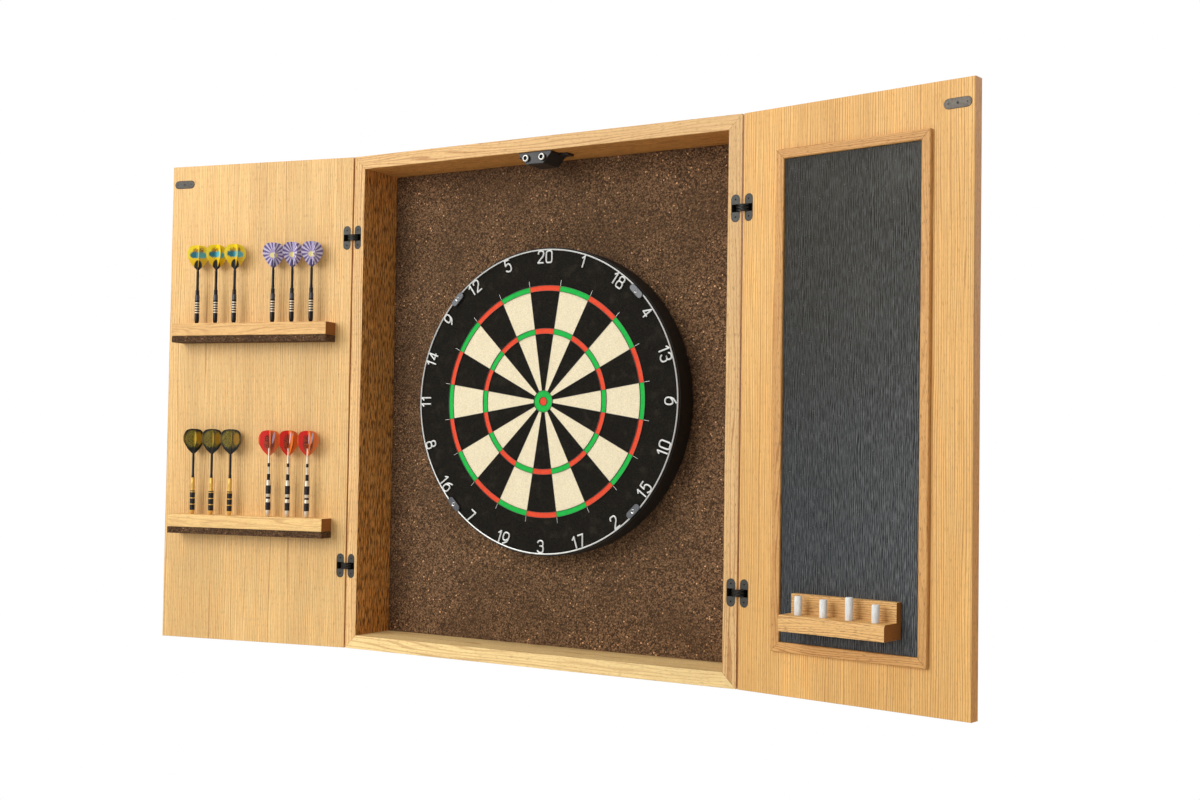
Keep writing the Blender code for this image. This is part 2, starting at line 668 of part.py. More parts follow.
# ---------------------------------------------------------------- catch
def catch():
    """A double push latch under the top board: a tapered housing with two eared feet and two plungers."""
    half_top, half_bottom = CATCH_TOP_WIDTH / 2, CATCH_BOTTOM_WIDTH / 2
    low = CATCH_TOP - CATCH_HEIGHT
    front = FRONT + CATCH_SETBACK
    outline = [(-half_top, CATCH_TOP), (-half_top, CATCH_TOP - EAR_THICKNESS), (-half_bottom, low),
               (half_bottom, low), (half_top, CATCH_TOP - EAR_THICKNESS), (half_top, CATCH_TOP)]
    body = moved(plate_mesh([outline], -front - CATCH_LENGTH, -front), UPRIGHT)
    ear_reach = half_top + EAR_LENGTH
    ear_back = front + CATCH_LENGTH
    ear_front = ear_back - EAR_LENGTH - EAR_SLOT_WIDTH
    ears = box_mesh((-ear_reach, ear_front, CATCH_TOP - EAR_THICKNESS), (ear_reach, ear_back, CATCH_TOP))
    ear_slot = plate_mesh([pill(EAR_SLOT_LENGTH, EAR_SLOT_WIDTH, 4)], low, CATCH_TOP + CLEARANCE)
    slots = [
        moved(ear_slot, Matrix.Translation((side * (half_top + EAR_LENGTH / 2), (ear_front + ear_back) / 2, 0)))
        for side in (-1, 1)
    ]
    bore_end = front + CATCH_LENGTH - CATCH_WALL
    bores = [
        rod_mesh(PLUNGER_RADIUS + PLUNGER_PLAY, front - CATCH_SETBACK, bore_end, "Y", 16,
                 (side * PLUNGER_SPACING / 2, 0, PLUNGER_Z))
        for side in (-1, 1)
    ]
    add_object("catch_housing", smooth(cut(joined(body, ears), *slots, *bores)), black_plastic())

    tip = FRONT - DOOR_GAP + STRIKE_PROUD + STRIKE_AIR
    r = PLUNGER_RADIUS
    profile = [(0, -PLUNGER_DIMPLE), (0.45 * r, -PLUNGER_DIMPLE), (0.55 * r, 0), (0.9 * r, 0),
               (r, -PLUNGER_ROUNDING), (r, -PLUNGER_LENGTH), (0, -PLUNGER_LENGTH)]
    for side, name in ((-1, "left"), (1, "right")):
        at = (side * PLUNGER_SPACING / 2, tip, PLUNGER_Z)
        plunger = smooth(turned_mesh(profile, 16))
        add_object(f"{name}_catch_plunger", plunger, black_plastic(), None, at, (90, 0, 0))


# ---------------------------------------------------------------- bristle board
def disc_ring(outer, inner, front, thickness, sides):
    return moved(plate_mesh([circle(outer, sides), circle(inner, sides)], -front - thickness, -front), UPRIGHT)


def bracket():
    plate = rod_mesh(BRACKET_RADIUS, CORK_FACE - BOARD_STANDOFF + CLEARANCE, CORK_FACE - CLEARANCE, "Y", 32)
    hub = rod_mesh(HUB_RADIUS, BOARD_BACK - HUB_LENGTH, CORK_FACE - BOARD_STANDOFF / 2, "Y", 24)
    screws = [
        rod_mesh(BRACKET_SCREW_RADIUS, BOARD_BACK - CLEARANCE, CORK_FACE, "Y", 8, (x, 0, z))
        for x, z in circle(BRACKET_SCREW_CIRCLE, 3, 90)
    ]
    add_object("dartboard_bracket", cut(joined(plate, hub), *screws), dark_metal())


def spider_outline():
    """The wire grid: its toothed rim, and one hole for each bed of the board."""
    wire = WIRE_WIDTH / 2
    step = 360 / SECTORS
    rim_radius = DOUBLE_RADIUS + wire
    rim = []
    for sector in range(SECTORS):
        start = step / 2 + sector * step
        half = math.degrees(wire / rim_radius)
        tooth = math.radians(start)
        reach = rim_radius + WIRE_OVERHANG
        for across in (-wire, wire):
            rim.append((reach * math.cos(tooth) - across * math.sin(tooth),
                        reach * math.sin(tooth) + across * math.cos(tooth)))
        rim += arc((0, 0), rim_radius, start + half, start + step - half, 3)
    beds = ((BULL_RADIUS, TRIPLE_RADIUS - RING_WIDTH), (TRIPLE_RADIUS - RING_WIDTH, TRIPLE_RADIUS),
            (TRIPLE_RADIUS, DOUBLE_RADIUS - RING_WIDTH), (DOUBLE_RADIUS - RING_WIDTH, DOUBLE_RADIUS))
    holes = [circle(BULL_RADIUS - wire, 24)]
    for inner, outer in beds:
        for sector in range(SECTORS):
            start = step / 2 + sector * step
            low, high = inner + wire, outer - wire
            edge_low, edge_high = (math.degrees(wire / r) for r in (low, high))
            holes.append(
                arc((0, 0), high, start + edge_high, start + step - edge_high, 2)
                + arc((0, 0), low, start + step - edge_low, start + edge_low, 2)
            )
    return [rim, *holes]


def dartboard():
    axis = empty("dartboard_axis")
    core_radius = BOARD_RADIUS - BAND_THICKNESS - CLEARANCE
    recess = HUB_RADIUS + HUB_PLAY
    profile = [(0, -BOARD_FRONT), (core_radius, -BOARD_FRONT), (core_radius, -BOARD_BACK),
               (recess, -BOARD_BACK), (recess, -BOARD_BACK + HUB_LENGTH + CLEARANCE),
               (0, -BOARD_BACK + HUB_LENGTH + CLEARANCE)]
    core = turned_mesh(profile, 48)
    bristle = finish("bristle", (0.10, 0.10, 0.10), 0.9)
    add_object("dartboard_bristle_disc", smooth(core), bristle, axis, turn=(90, 0, 0))
    band = disc_ring(BOARD_RADIUS, BOARD_RADIUS - BAND_THICKNESS, BOARD_FRONT, BOARD_THICKNESS, 48)
    add_object("dartboard_rim_band", smooth(band), black_plastic(), axis)
    wire_back = BOARD_FRONT - CLEARANCE
    spider = moved(plate_mesh(spider_outline(), -wire_back, -wire_back + WIRE_THICKNESS), UPRIGHT)
    add_object("dartboard_wire_grid", spider, steel_wire(), axis)
    ring_front = wire_back - NUMBER_RING_THICKNESS
    ring = disc_ring(NUMBER_RING_RADIUS, NUMBER_RING_RADIUS - NUMBER_RING_WIDTH, ring_front,
                     NUMBER_RING_THICKNESS, 48)
    add_object("number_ring", smooth(ring), steel_wire(), axis)


# ---------------------------------------------------------------- whole cabinet
def main():
    clear_scene()
    carcass()
    doors = {
        -1: empty("left_door_pivot", None, (-HINGE_X, HINGE_Y, 0), (0, 0, -LEFT_DOOR_ANGLE)),
        1: empty("right_door_pivot", None, (HINGE_X, HINGE_Y, 0), (0, 0, RIGHT_DOOR_ANGLE)),
    }
    for side, pivot in doors.items():
        door_panel(side, pivot)
    hinges(doors)
    rack_tops = {"upper": UPPER_RACK_TOP, "lower": LOWER_RACK_TOP}
    for name, top in rack_tops.items():
        rack_middle = rack(name, doors[-1], top)
    darts(doors[-1], rack_tops, rack_middle)
    chalkboard(doors[1])
    catch()
    bracket()
    dartboard()


main()
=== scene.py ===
import json
from math import atan2, cos, degrees, hypot, pi, radians, sin

import bmesh
import bpy
from bpy.props import FloatProperty, FloatVectorProperty, PointerProperty
from mathutils import Matrix, Vector


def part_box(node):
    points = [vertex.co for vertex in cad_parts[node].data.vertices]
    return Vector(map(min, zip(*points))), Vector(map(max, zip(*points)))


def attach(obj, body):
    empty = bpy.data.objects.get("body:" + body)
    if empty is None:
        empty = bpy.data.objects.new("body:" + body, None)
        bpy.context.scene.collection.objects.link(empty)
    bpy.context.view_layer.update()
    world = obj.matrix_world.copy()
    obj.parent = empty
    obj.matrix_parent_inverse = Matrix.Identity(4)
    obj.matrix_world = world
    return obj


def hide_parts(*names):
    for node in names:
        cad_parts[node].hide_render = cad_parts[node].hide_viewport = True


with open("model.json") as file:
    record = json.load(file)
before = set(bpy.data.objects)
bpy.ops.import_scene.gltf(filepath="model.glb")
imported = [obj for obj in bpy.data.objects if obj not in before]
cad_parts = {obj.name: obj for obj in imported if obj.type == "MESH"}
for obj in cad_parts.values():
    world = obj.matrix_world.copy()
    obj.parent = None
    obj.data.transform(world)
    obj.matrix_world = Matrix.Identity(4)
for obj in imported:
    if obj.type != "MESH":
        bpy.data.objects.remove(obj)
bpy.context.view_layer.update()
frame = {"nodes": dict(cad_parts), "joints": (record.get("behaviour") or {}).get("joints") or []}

bl_info = {
    "name": "Dart Board Cabinet",
    "version": (1, 0, 0),
    "blender": (4, 5, 0),
    "location": "View3D > Sidebar > Dart Cabinet",
    "description": "Oak cabinet with a bristle board, two dart racks and a chalkboard",
    "category": "Add Mesh",
}

# Places that the frame gives.
BOARD_LOW, BOARD_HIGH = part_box("dartboard_bristle_disc")
BAND_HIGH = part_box("dartboard_rim_band")[1]
WIRE_LOW, WIRE_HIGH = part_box("dartboard_wire_grid")
RING_LOW, RING_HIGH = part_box("number_ring")
BOARD_FRONT, BOARD_BACK = BOARD_LOW.y, BOARD_HIGH.y

# The board's beds, by radius.
INNER_BULL = 0.00635
OUTER_BULL = 0.0159
TRIPLE_INNER, TRIPLE_OUTER = 0.099, 0.107
DOUBLE_INNER, DOUBLE_OUTER = 0.162, 0.170
SECTOR = 18.0
NUMBERS = (20, 1, 18, 4, 13, 6, 10, 15, 2, 17, 3, 19, 7, 16, 8, 11, 14, 9, 12, 5)
TURNED_IN = (10, 15, 2, 17, 3, 19, 7, 16, 8)  # these stand with their heads to the middle

# Strokes of wire numerals, in a cell one wide and one high. A doubled point makes a corner.
STROKES = {
    "0": [((0, 1), (0.5, 1), (0.5, 0.5), (0.5, 0), (0, 0), (-0.5, 0), (-0.5, 0.5), (-0.5, 1), (0, 1))],
    "1": [((0.12, 0), (0.12, 1), (0.12, 1), (-0.28, 0.76))],
    "2": [((-0.45, 0.74), (-0.45, 1), (0.1, 1.02), (0.5, 0.95), (0.45, 0.58), (-0.1, 0.3),
           (-0.5, 0), (-0.5, 0), (0.5, 0))],
    "3": [((-0.45, 0.8), (-0.4, 1), (0.45, 1.02), (0.5, 0.55), (-0.1, 0.55), (-0.1, 0.55),
           (0.55, 0.55), (0.5, 0), (-0.35, -0.02), (-0.5, 0.2))],
    "4": [((0.2, 0), (0.2, 1), (0.2, 1), (-0.5, 0.3), (-0.5, 0.3), (0.5, 0.3))],
    "5": [((0.42, 1), (-0.36, 1), (-0.36, 1), (-0.42, 0.55), (-0.42, 0.55), (0.1, 0.72), (0.5, 0.5),
           (0.48, 0), (-0.2, -0.02), (-0.5, 0.14))],
    "6": [((0.36, 1), (0, 0.86), (-0.46, 0.64), (-0.52, -0.05), (0.52, -0.05), (0.52, 0.64),
           (-0.1, 0.68), (-0.44, 0.42))],
    "7": [((-0.45, 1), (0.45, 1), (0.45, 1), (-0.1, 0))],
    "8": [((0, 1), (0.42, 1), (0.42, 0.55), (0, 0.55), (-0.42, 0.55), (-0.42, 1), (0, 1)),
          ((0, 0.55), (0.5, 0.55), (0.5, 0), (0, 0), (-0.5, 0), (-0.5, 0.55), (0, 0.55))],
    "9": [((-0.36, 0), (0, 0.14), (0.46, 0.36), (0.52, 1.05), (-0.52, 1.05), (-0.52, 0.36),
           (0.1, 0.32), (0.44, 0.58))],
}


# ---------------------------------------------------------------- colours
def shade(red, green, blue):
    """A colour picked on a 0 to 255 scale, as the linear numbers a shader takes."""
    def linear(part):
        part /= 255
        return part / 12.92 if part <= 0.04045 else ((part + 0.055) / 1.055) ** 2.4
    return linear(red), linear(green), linear(blue)


def colour_choice(name, description, *colour):
    return FloatVectorProperty(name=name, description=description, default=shade(*colour),
                               subtype="COLOR", size=3, min=0, max=1)


def length_choice(name, description, metres):
    return FloatProperty(name=name, description=description, default=metres, min=0,
                         subtype="DISTANCE", unit="LENGTH", precision=5)


def power_choice(name, description, watts):
    return FloatProperty(name=name, description=description, default=watts, min=0, subtype="POWER",
                         unit="POWER")


class DARTS_PG_wood(bpy.types.PropertyGroup):
    frame: colour_choice("Frame", "Solid oak of the frame", 240, 196, 132)
    # Painted shade: a darker, more orange copy of the frame oak, standing for the shade and warm bounce light
    # inside the box. The door edges take it too.
    frame_inside: colour_choice("Frame inside", "Inner faces of the frame boards", 230, 160, 82)
    # Painted light: the bottom board is a lighter copy of the frame oak, for the light that falls on it from
    # above.
    bottom: colour_choice("Bottom board", "The paler bottom board", 255, 222, 154)
    left_door: colour_choice("Left door", "Veneer of the rack door", 249, 205, 134)
    right_door: colour_choice("Right door", "Veneer of the chalkboard door", 246, 194, 116)
    trim: colour_choice("Trim", "Rack rails and chalk holder", 238, 190, 120)
    moulding: colour_choice("Moulding", "Mouldings round the chalkboard", 222, 168, 100)
    line: colour_choice("Grain lines", "Late wood between the growth rings", 164, 104, 46)
    pore: colour_choice("Pores", "Short dark pores", 92, 50, 20)
    arris: length_choice("Arris", "Softening of the wood's sharp edges", 0.0007)


class DARTS_PG_board(bpy.types.PropertyGroup):
    black: colour_choice("Black beds", "Dyed sisal of the black beds", 25, 22, 16)
    cream: colour_choice("Cream beds", "Natural sisal", 234, 220, 186)
    red: colour_choice("Red beds", "Dyed sisal of the red beds", 236, 82, 54)
    green: colour_choice("Green beds", "Dyed sisal of the green beds", 40, 186, 76)
    wire_width: length_choice("Wire width", "Width of the spider's wires", 0.0006)
    numeral_height: length_choice("Numeral height", "Height of a numeral, to the middle of its wire", 0.0172)
    numeral_width: length_choice("Numeral width", "Width of one wire numeral", 0.0098)
    numeral_wire: length_choice("Numeral wire", "Diameter of the numerals' wire", 0.0025)


class DARTS_PG_fittings(bpy.types.PropertyGroup):
    hinge: colour_choice("Hinge cups", "Cast metal of the hinges", 62, 61, 56)
    strike: colour_choice("Strike plates", "Plated metal of the strikes", 100, 93, 84)
    plastic: colour_choice("Plastic", "Catch housing and clips", 27, 26, 26)
    rounding: length_choice("Rim rounding", "Rounding of the cups' rims", 0.0006)
    screw_radius: length_choice("Screw radius", "Radius of the hinge screws' heads", 0.0019)


class DARTS_PG_darts(bpy.types.PropertyGroup):
    vane_rounding: length_choice("Vane rounding", "Rounding of the corners of a flight", 0.0025)
    black: colour_choice("Black", "Black coating of barrels and stems", 26, 25, 28)
    # Painted reflection: the silver is tinted cream, standing for the oak it reflects.
    silver: colour_choice("Silver", "Bright metal of grooves and noses", 222, 210, 188)
    brass: colour_choice("Brass", "Brass barrels", 232, 188, 96)


class DARTS_PG_stage(bpy.types.PropertyGroup):
    key_power: power_choice("Key light", "Power of the large soft light", 108)
    fill_power: power_choice("Fill light", "Power of the weak light opposite", 2.5)
    top_power: power_choice("Top light", "Power of the soft light overhead", 22)
    back_power: power_choice("Back light", "Power of the soft light behind", 90)
    floor_drop: length_choice("Floor drop", "How far below the cabinet's middle the floor lies", 1.5)


GROUPS = {
    "dart_wood": DARTS_PG_wood,
    "dart_board": DARTS_PG_board,
    "dart_fittings": DARTS_PG_fittings,
    "dart_darts": DARTS_PG_darts,
    "dart_stage": DARTS_PG_stage,
}


# ---------------------------------------------------------------- finishes
class Wire:
    """A shader socket that adds, subtracts, multiplies and divides like a number."""

    def __init__(self, finish, socket):
        self.finish, self.socket = finish, socket

    def __add__(self, other):
        return self.finish.maths("ADD", self, other)

    def __sub__(self, other):
        return self.finish.maths("SUBTRACT", self, other)

    def __rsub__(self, other):
        return self.finish.maths("SUBTRACT", other, self)

    def __mul__(self, other):
        return self.finish.maths("MULTIPLY", self, other)

    def __truediv__(self, other):
        return self.finish.maths("DIVIDE", self, other)


class Finish:
    """One procedural material, its patterns in metres and square to the cabinet or to one of its doors."""

    def __init__(self, name, door=None, **settings):
        self.door = door
        self.material = bpy.data.materials.new(name)
        self.material.use_nodes = True
        self.tree = self.material.node_tree
        self.shader = self.tree.nodes["Principled BSDF"]
        for socket, value in settings.items():
            self.feed(self.shader.inputs[socket.replace("_", " ")], value)

    def feed(self, socket, value):
        if isinstance(value, Wire):
            self.tree.links.new(value.socket, socket)
        elif socket.type == "RGBA":
            socket.default_value = (*value, 1)
        else:
            socket.default_value = value

    def node(self, kind, settings=None, inputs=None, out=0):
        """Any node: its settings first, then the values or links of its sockets."""
        made = self.tree.nodes.new(kind)
        for name, value in (settings or {}).items():
            setattr(made, name, value)
        for name, value in (inputs or {}).items():
            self.feed(made.inputs[name], value)
        return Wire(self, made.outputs[out])

    def maths(self, operation, *values):
        return self.node("ShaderNodeMath", {"operation": operation}, dict(enumerate(values)))

    def cells(self, size, at=(0, 0, 0)):
        """Places counted in cells of this size, one number or one for each axis."""
        hinge, turn = door_hinge(self.door) if self.door else (Vector(), 0)
        return self.node("ShaderNodeMapping", {"vector_type": "TEXTURE"},
                         {"Vector": self.node("ShaderNodeTexCoord", out="Object"),
                          "Location": hinge + Vector(at), "Rotation": (0, 0, turn),
                          "Scale": size if isinstance(size, tuple) else (size,) * 3})

    def split(self, vector):
        parts = self.node("ShaderNodeSeparateXYZ", None, {0: vector})
        return [Wire(self, socket) for socket in parts.socket.node.outputs]

    def metres(self):
        """The three coordinates."""
        return self.split(self.cells(1))

    def noise(self, size, detail=2.0, roughness=0.5, at=(0, 0, 0)):
        return self.node("ShaderNodeTexNoise", None, {"Vector": self.cells(size, at), "Scale": 1,
                                                      "Detail": detail, "Roughness": roughness})

    def grains(self, place, out="Color"):
        """Packed cells: a random number for each, or the distance from its middle."""
        return self.node("ShaderNodeTexVoronoi", None, {"Vector": place, "Scale": 1}, out)

    def rise(self, value, low, high):
        """0 below low, 1 above high, and a smooth rise between."""
        return self.node("ShaderNodeMapRange", {"interpolation_type": "SMOOTHSTEP"},
                         {"Value": value, "From Min": low, "From Max": high})

    def patches(self, size, low, high, detail=2.0, roughness=0.5):
        """Soft patches where a noise rises from low to high."""
        return self.rise(self.noise(size, detail, roughness), low, high)

    def wave(self, phase):
        """A wave from 0 to 1, one period for each whole number."""
        return self.maths("SINE", phase * (2 * pi)) * 0.5 + 0.5

    def coats(self, body, *coats):
        """A colour under coats of others, each with how much it covers."""
        for cover, colour in coats:
            body = self.node("ShaderNodeMix", {"data_type": "RGBA"}, {0: cover, 6: body, 7: colour}, out=2)
        return body

    def surface(self, colour, roughness, height, distance, strength):
        """Feeds the shader its colour, its roughness and its bumps."""
        bumps = self.node("ShaderNodeBump", None,
                          {"Height": height, "Distance": distance, "Strength": strength})
        for socket, value in (("Base Color", colour), ("Roughness", roughness), ("Normal", bumps)):
            self.feed(self.shader.inputs[socket], value)
        return self


def times(colour, factor):
    """The same colour, lighter or darker."""
    return tuple(min(1.0, part * factor) for part in colour)


def ready(name, make, *values, **settings):
    """The material of this name, made the first time it is asked for."""
    return bpy.data.materials.get(name) or make(name, *values, **settings).material


def wood(name, pale, along="Z", door=None, spacing=0.0035, figure=0.006, contrast=0.8, pores=0.75,
         bunching=0.7, flecks=0.0):
    """Oak: wandering late-wood lines, flecks, fine fibres and short dark pores along the grain."""
    tones = bpy.context.scene.dart_wood
    finish = Finish(name, door, Specular_IOR_Level=0.35)

    def lay(fine, long):
        return tuple(long if axis == along else fine for axis in "XYZ")

    x, y, z = finish.metres()
    wander = finish.noise(lay(0.03, 0.30), 1.5) - 0.5
    drift = finish.noise(lay(0.009, 0.5), 1) - 0.5
    across = (x if along == "Z" else z) + y * 0.8 + wander * (figure * 6) + drift * 0.008
    lines = finish.rise(finish.wave(across / spacing), 0.55, 1.0)
    groups = finish.patches(lay(0.014, 0.7), 0.3, 0.7) * bunching + (1 - bunching)
    fibres = finish.noise(lay(0.0006, 0.035), 3, 0.6)
    holes = finish.patches(lay(0.0005, 0.009), 0.60, 0.70, 1)
    body = finish.coats(
        pale,
        (finish.patches(lay(0.05, 0.6), 0.3, 0.7), times(pale, 0.86)),
        (finish.rise(fibres, 0.38, 0.68) * 0.30, tones.line),
        (lines * groups * contrast, tones.line),
        (finish.patches(lay(0.0022, 0.014), 0.46, 0.62) * flecks, times(tones.line, 0.36)),
        (holes * pores, tones.pore))
    return finish.surface(body, fibres * 0.15 + 0.43, 1 - holes * 0.7 - fibres * 0.3, 0.0003, 0.35)


def end_grain(name, door):
    """Sawn ends of oak: arcs of growth rings full of open pores, in a dark tone that is partly the end
    grain's own and partly painted shade.
    """
    tones = bpy.context.scene.dart_wood
    finish = Finish(name, door, Specular_IOR_Level=0.25)
    _, y, z = finish.metres()
    rings = finish.wave((z + y * 0.9 + (finish.noise(0.03) - 0.5) * 0.03) / 0.0032)
    pores = finish.patches(0.0006, 0.5, 0.68, 1)
    body = finish.coats(times(tones.line, 0.95), (rings * 0.5, times(tones.line, 0.5)),
                        (pores * (rings * 0.5 + 0.3), tones.pore))
    return finish.surface(body, 0.7, 1 - pores, 0.0002, 0.4)


def cork(name, dark, light, size):
    """Pressed cork: packed granules, a few of them tan, with dark gaps between."""
    finish = Finish(name, Specular_IOR_Level=0.2)
    bend = finish.noise(size * 2)
    bent = finish.node("ShaderNodeCombineXYZ", None, {0: bend, 1: bend, 2: bend})
    place = finish.node("ShaderNodeVectorMath", {"operation": "ADD"}, {0: finish.cells(size), 1: bent})
    pick = finish.split(finish.grains(place))[0]
    gap = finish.rise(finish.grains(place, "Distance"), 0.35, 0.75)
    body = finish.coats(
        times(dark, 0.60),
        (finish.rise(pick, 0.05, 0.95), times(light, 1.12)),
        (finish.rise(pick, 0.93, 0.96) * 0.55, times(light, 1.8)),
        (finish.rise(pick, 0.990, 0.993) * 0.95, times(light, 3.6)),
        (gap * 0.45, times(dark, 0.42)),
        (finish.patches(0.10, 0.40, 0.65, 3) * 0.40, times(dark, 0.75)))
    return finish.surface(body, 0.9, pick * 0.4 + (1 - gap), 0.0005, 0.5)


def chalkboard_black(name):
    """Black paint over a fine upright grain, browner towards the top, with faint pale smears near the top,
    specks of chalk, and painted light that makes the grain and streaks lighter towards one side.
    """
    finish = Finish(name, "right", Specular_IOR_Level=0.12)
    x, _, z = finish.metres()
    wander = finish.noise((0.02, 0.02, 0.12)) - 0.5
    grain = finish.rise(finish.wave((x + wander * 0.012) / 0.0024), 0.40, 0.95)
    streaks = finish.patches((0.0007, 0.0007, 0.014), 0.42, 0.66, 2, 0.6)
    smears = finish.noise((0.07, 0.07, 0.10), 3, at=(0, 0, 0.03))
    # Painted light: the grain and streaks grow lighter towards one side of the board.
    lit = finish.rise(0 - x, 0.05, 0.27) * 0.4 + 0.6
    height = finish.rise(z, -0.25, 0.25)
    body = finish.coats(
        shade(31, 34, 38),
        (height, shade(38, 34, 24)),
        ((grain * 0.42 + streaks * 0.58) * lit * (1 - height * 0.35), shade(118, 120, 120)),
        (finish.rise(smears, 0.45, 0.75) * finish.rise(z, 0.0, 0.3) * 0.22, shade(112, 110, 102)),
        (finish.patches(0.0016, 0.70, 0.76, 1) * 0.4, shade(150, 150, 146)))
    return finish.surface(body, finish.rise(smears, 0.3, 0.8) * 0.2 + 0.6, streaks, 0.0001, 0.3)


def metal(name, colour, roughness=0.38, metallic=0.85, mottle=0.25, size=0.003):
    """Plated or cast metal, a little uneven, with finer scratches."""
    finish = Finish(name, Metallic=metallic)
    blotches = finish.noise(size, 3)
    scratches = finish.noise((size / 6, size / 6, size))
    body = finish.coats(colour, (finish.rise(blotches, 0.35, 0.7) * mottle, times(colour, 0.55)))
    return finish.surface(body, blotches * 0.2 + (roughness - 0.1), scratches, 0.00006, 0.3)


def plastic(name, colour, roughness=0.42):
    """Moulded plastic with a fine spark-eroded texture."""
    finish = Finish(name, Specular_IOR_Level=0.5)
    broad = finish.noise(0.012)
    body = finish.coats(colour, (finish.rise(broad, 0.35, 0.7), times(colour, 1.35)))
    return finish.surface(body, broad * 0.15 + (roughness - 0.07), finish.noise(0.0005), 0.00008, 0.35)


# Painted shade: a near-black finish for the recesses of screw heads and the holes of the strike plates.
def screw_recess():
    return ready("screw recess", plastic, shade(16, 16, 16), 0.6)


def sisal(name, colour, wear, vary=0.10):
    """Bristle seen end on: each fibre a shade of its own, scuffed where darts have landed."""
    finish = Finish(name, Specular_IOR_Level=0.15)
    fibre = finish.split(finish.grains(finish.cells((0.0009, 0.0040, 0.0009))))[0]
    tufts = finish.noise(0.004, 4, 0.65)
    body = finish.coats(
        times(colour, 1 - vary),
        (finish.rise(fibre, 0.0, 1.0), times(colour, 1 + vary)),
        (finish.rise(tufts, 0.35, 0.7) * 0.15, times(colour, 0.72)),
        (finish.patches(0.02, 0.50, 0.72, 4, 0.6) * 0.22, wear))
    return finish.surface(body, 0.9, fibre * 0.5 + tufts, 0.0005, 0.5)


def knurled(name, colour):
    """Black coated metal cut with fine rings."""
    finish = Finish(name, Metallic=0.6)
    rings = finish.wave(finish.metres()[2] / 0.0011)
    body = finish.coats(colour, (rings * finish.patches(0.002, 0.4, 0.7, 3) * 0.5, shade(92, 92, 96)))
    return finish.surface(body, 0.42, rings, 0.0003, 0.6)


def chalk_white(name):
    """Pressed chalk, dusty and pitted."""
    finish = Finish(name, Specular_IOR_Level=0.15)
    dust = finish.noise((0.003, 0.003, 0.010), 4, 0.6)
    pits = finish.patches(0.0008, 0.58, 0.7)
    body = finish.coats(shade(238, 238, 234), (finish.rise(dust, 0.3, 0.7), shade(216, 217, 215)),
                        (pits * 0.35, shade(176, 178, 180)))
    return finish.surface(body, 0.92, dust - pits * 0.5, 0.0002, 0.5)


def flight_print(name, pattern):
    """Printed film of a flight. The pattern is drawn across (-1 to 1) and up (0 to 1) the vane."""
    finish = Finish(name, Specular_IOR_Level=0.5)
    across, up, _ = finish.split(finish.node("ShaderNodeUVMap", {"uv_map": "vane"}))
    side = across * 2 - 1
    grit = finish.noise(0.0012, 3)
    body = finish.coats(pattern(finish, side, finish.maths("ABSOLUTE", side), up, grit),
                        (finish.rise(grit, 0.45, 0.8) * 0.18, shade(60, 56, 60)))
    return finish.surface(body, grit * 0.15 + 0.25, grit, 0.00005, 0.2)


def blob(finish, across, up, middle, half_width, half_height, soft=0.25):
    """1 inside an oval drawn on the vane, 0 outside."""
    dx, dy = (across - middle[0]) / half_width, (up - middle[1]) / half_height
    return 1 - finish.rise(dx * dx + dy * dy, 1 - soft, 1 + soft)


def yellow_print(finish, side, wide, up, grit):
    # Painted light and shade: the teal band is light blue on one wing of each vane and dark teal on the
    # other.
    teal_lit_and_shaded = finish.coats(shade(96, 190, 204), (finish.rise(side, -0.1, 0.3), shade(22, 104, 122)))
    marks = blob(finish, wide, up + (grit - 0.5) * 0.5, (0.26, 0.78), 0.26, 0.07, 0.5)
    return finish.coats(
        shade(238, 188, 16),
        (finish.rise(up, 0.1, 0.9), shade(252, 222, 30)),
        (blob(finish, wide, up + (grit - 0.5) * 0.25, (0.28, 0.60), 0.48, 0.13, 0.3), teal_lit_and_shaded),
        (marks * 0.8, shade(126, 40, 26)),
        (finish.rise(wide, 0.70, 0.86) * 0.5, shade(255, 238, 90)),
        (blob(finish, wide, up, (0.0, 0.16), 0.36, 0.24), shade(22, 20, 24)))


def violet_print(finish, side, wide, up, grit):
    dx, dy = wide / 0.95, (up - 0.55) / 0.5
    outer = finish.rise(finish.maths("SQRT", dx * dx + dy * dy), 0.30, 0.75)
    streaks = finish.rise(finish.wave(finish.maths("ARCTAN2", dy, dx) * 2.55 + grit * 0.5), 0.35, 0.70)
    return finish.coats(
        shade(112, 94, 150),
        (streaks, shade(240, 232, 244)),
        (outer * 0.3 * streaks, shade(166, 148, 196)),
        (blob(finish, wide, up, (0.0, 0.52), 0.52, 0.20, 0.4) * 0.7, shade(176, 160, 200)),
        (blob(finish, wide, up, (0.0, 0.50), 0.36, 0.11), shade(238, 226, 160)))


def brass_print(finish, side, wide, up, grit):
    veins = finish.rise(finish.wave(up * 5 + wide * 3 + grit * 4), 0.45, 0.8)
    ragged = up + (grit - 0.5) * 0.3
    return finish.coats(
        shade(26, 25, 18),
        (blob(finish, wide, ragged, (0.1, 0.60), 0.74, 0.34, 0.2),
         finish.coats(shade(72, 66, 20), (veins, shade(168, 148, 52)))),
        (blob(finish, side, ragged, (-0.50, 0.62), 0.26, 0.24, 0.4) * 0.85, shade(214, 162, 34)),
        (finish.rise(wide, 0.80, 0.95) * 0.5, shade(176, 132, 34)))


def red_print(finish, side, wide, up, grit):
    scorched = finish.coats(shade(40, 20, 22), (finish.rise(grit, 0.45, 0.6), shade(196, 92, 40)))
    return finish.coats(
        shade(238, 122, 44),
        (finish.rise(side, -0.08, 0.08), shade(226, 34, 26)),
        (blob(finish, wide, up + (grit - 0.5) * 0.9, (0.20, 0.50), 0.28, 0.32, 0.35) * 0.9, scorched),
        (blob(finish, side + (up - 0.55) * 0.4, up, (-0.30, 0.70), 0.10, 0.22, 0.5), shade(226, 216, 238)),
        (finish.rise(wide, 0.80, 0.92) * 0.35, shade(255, 150, 60)))


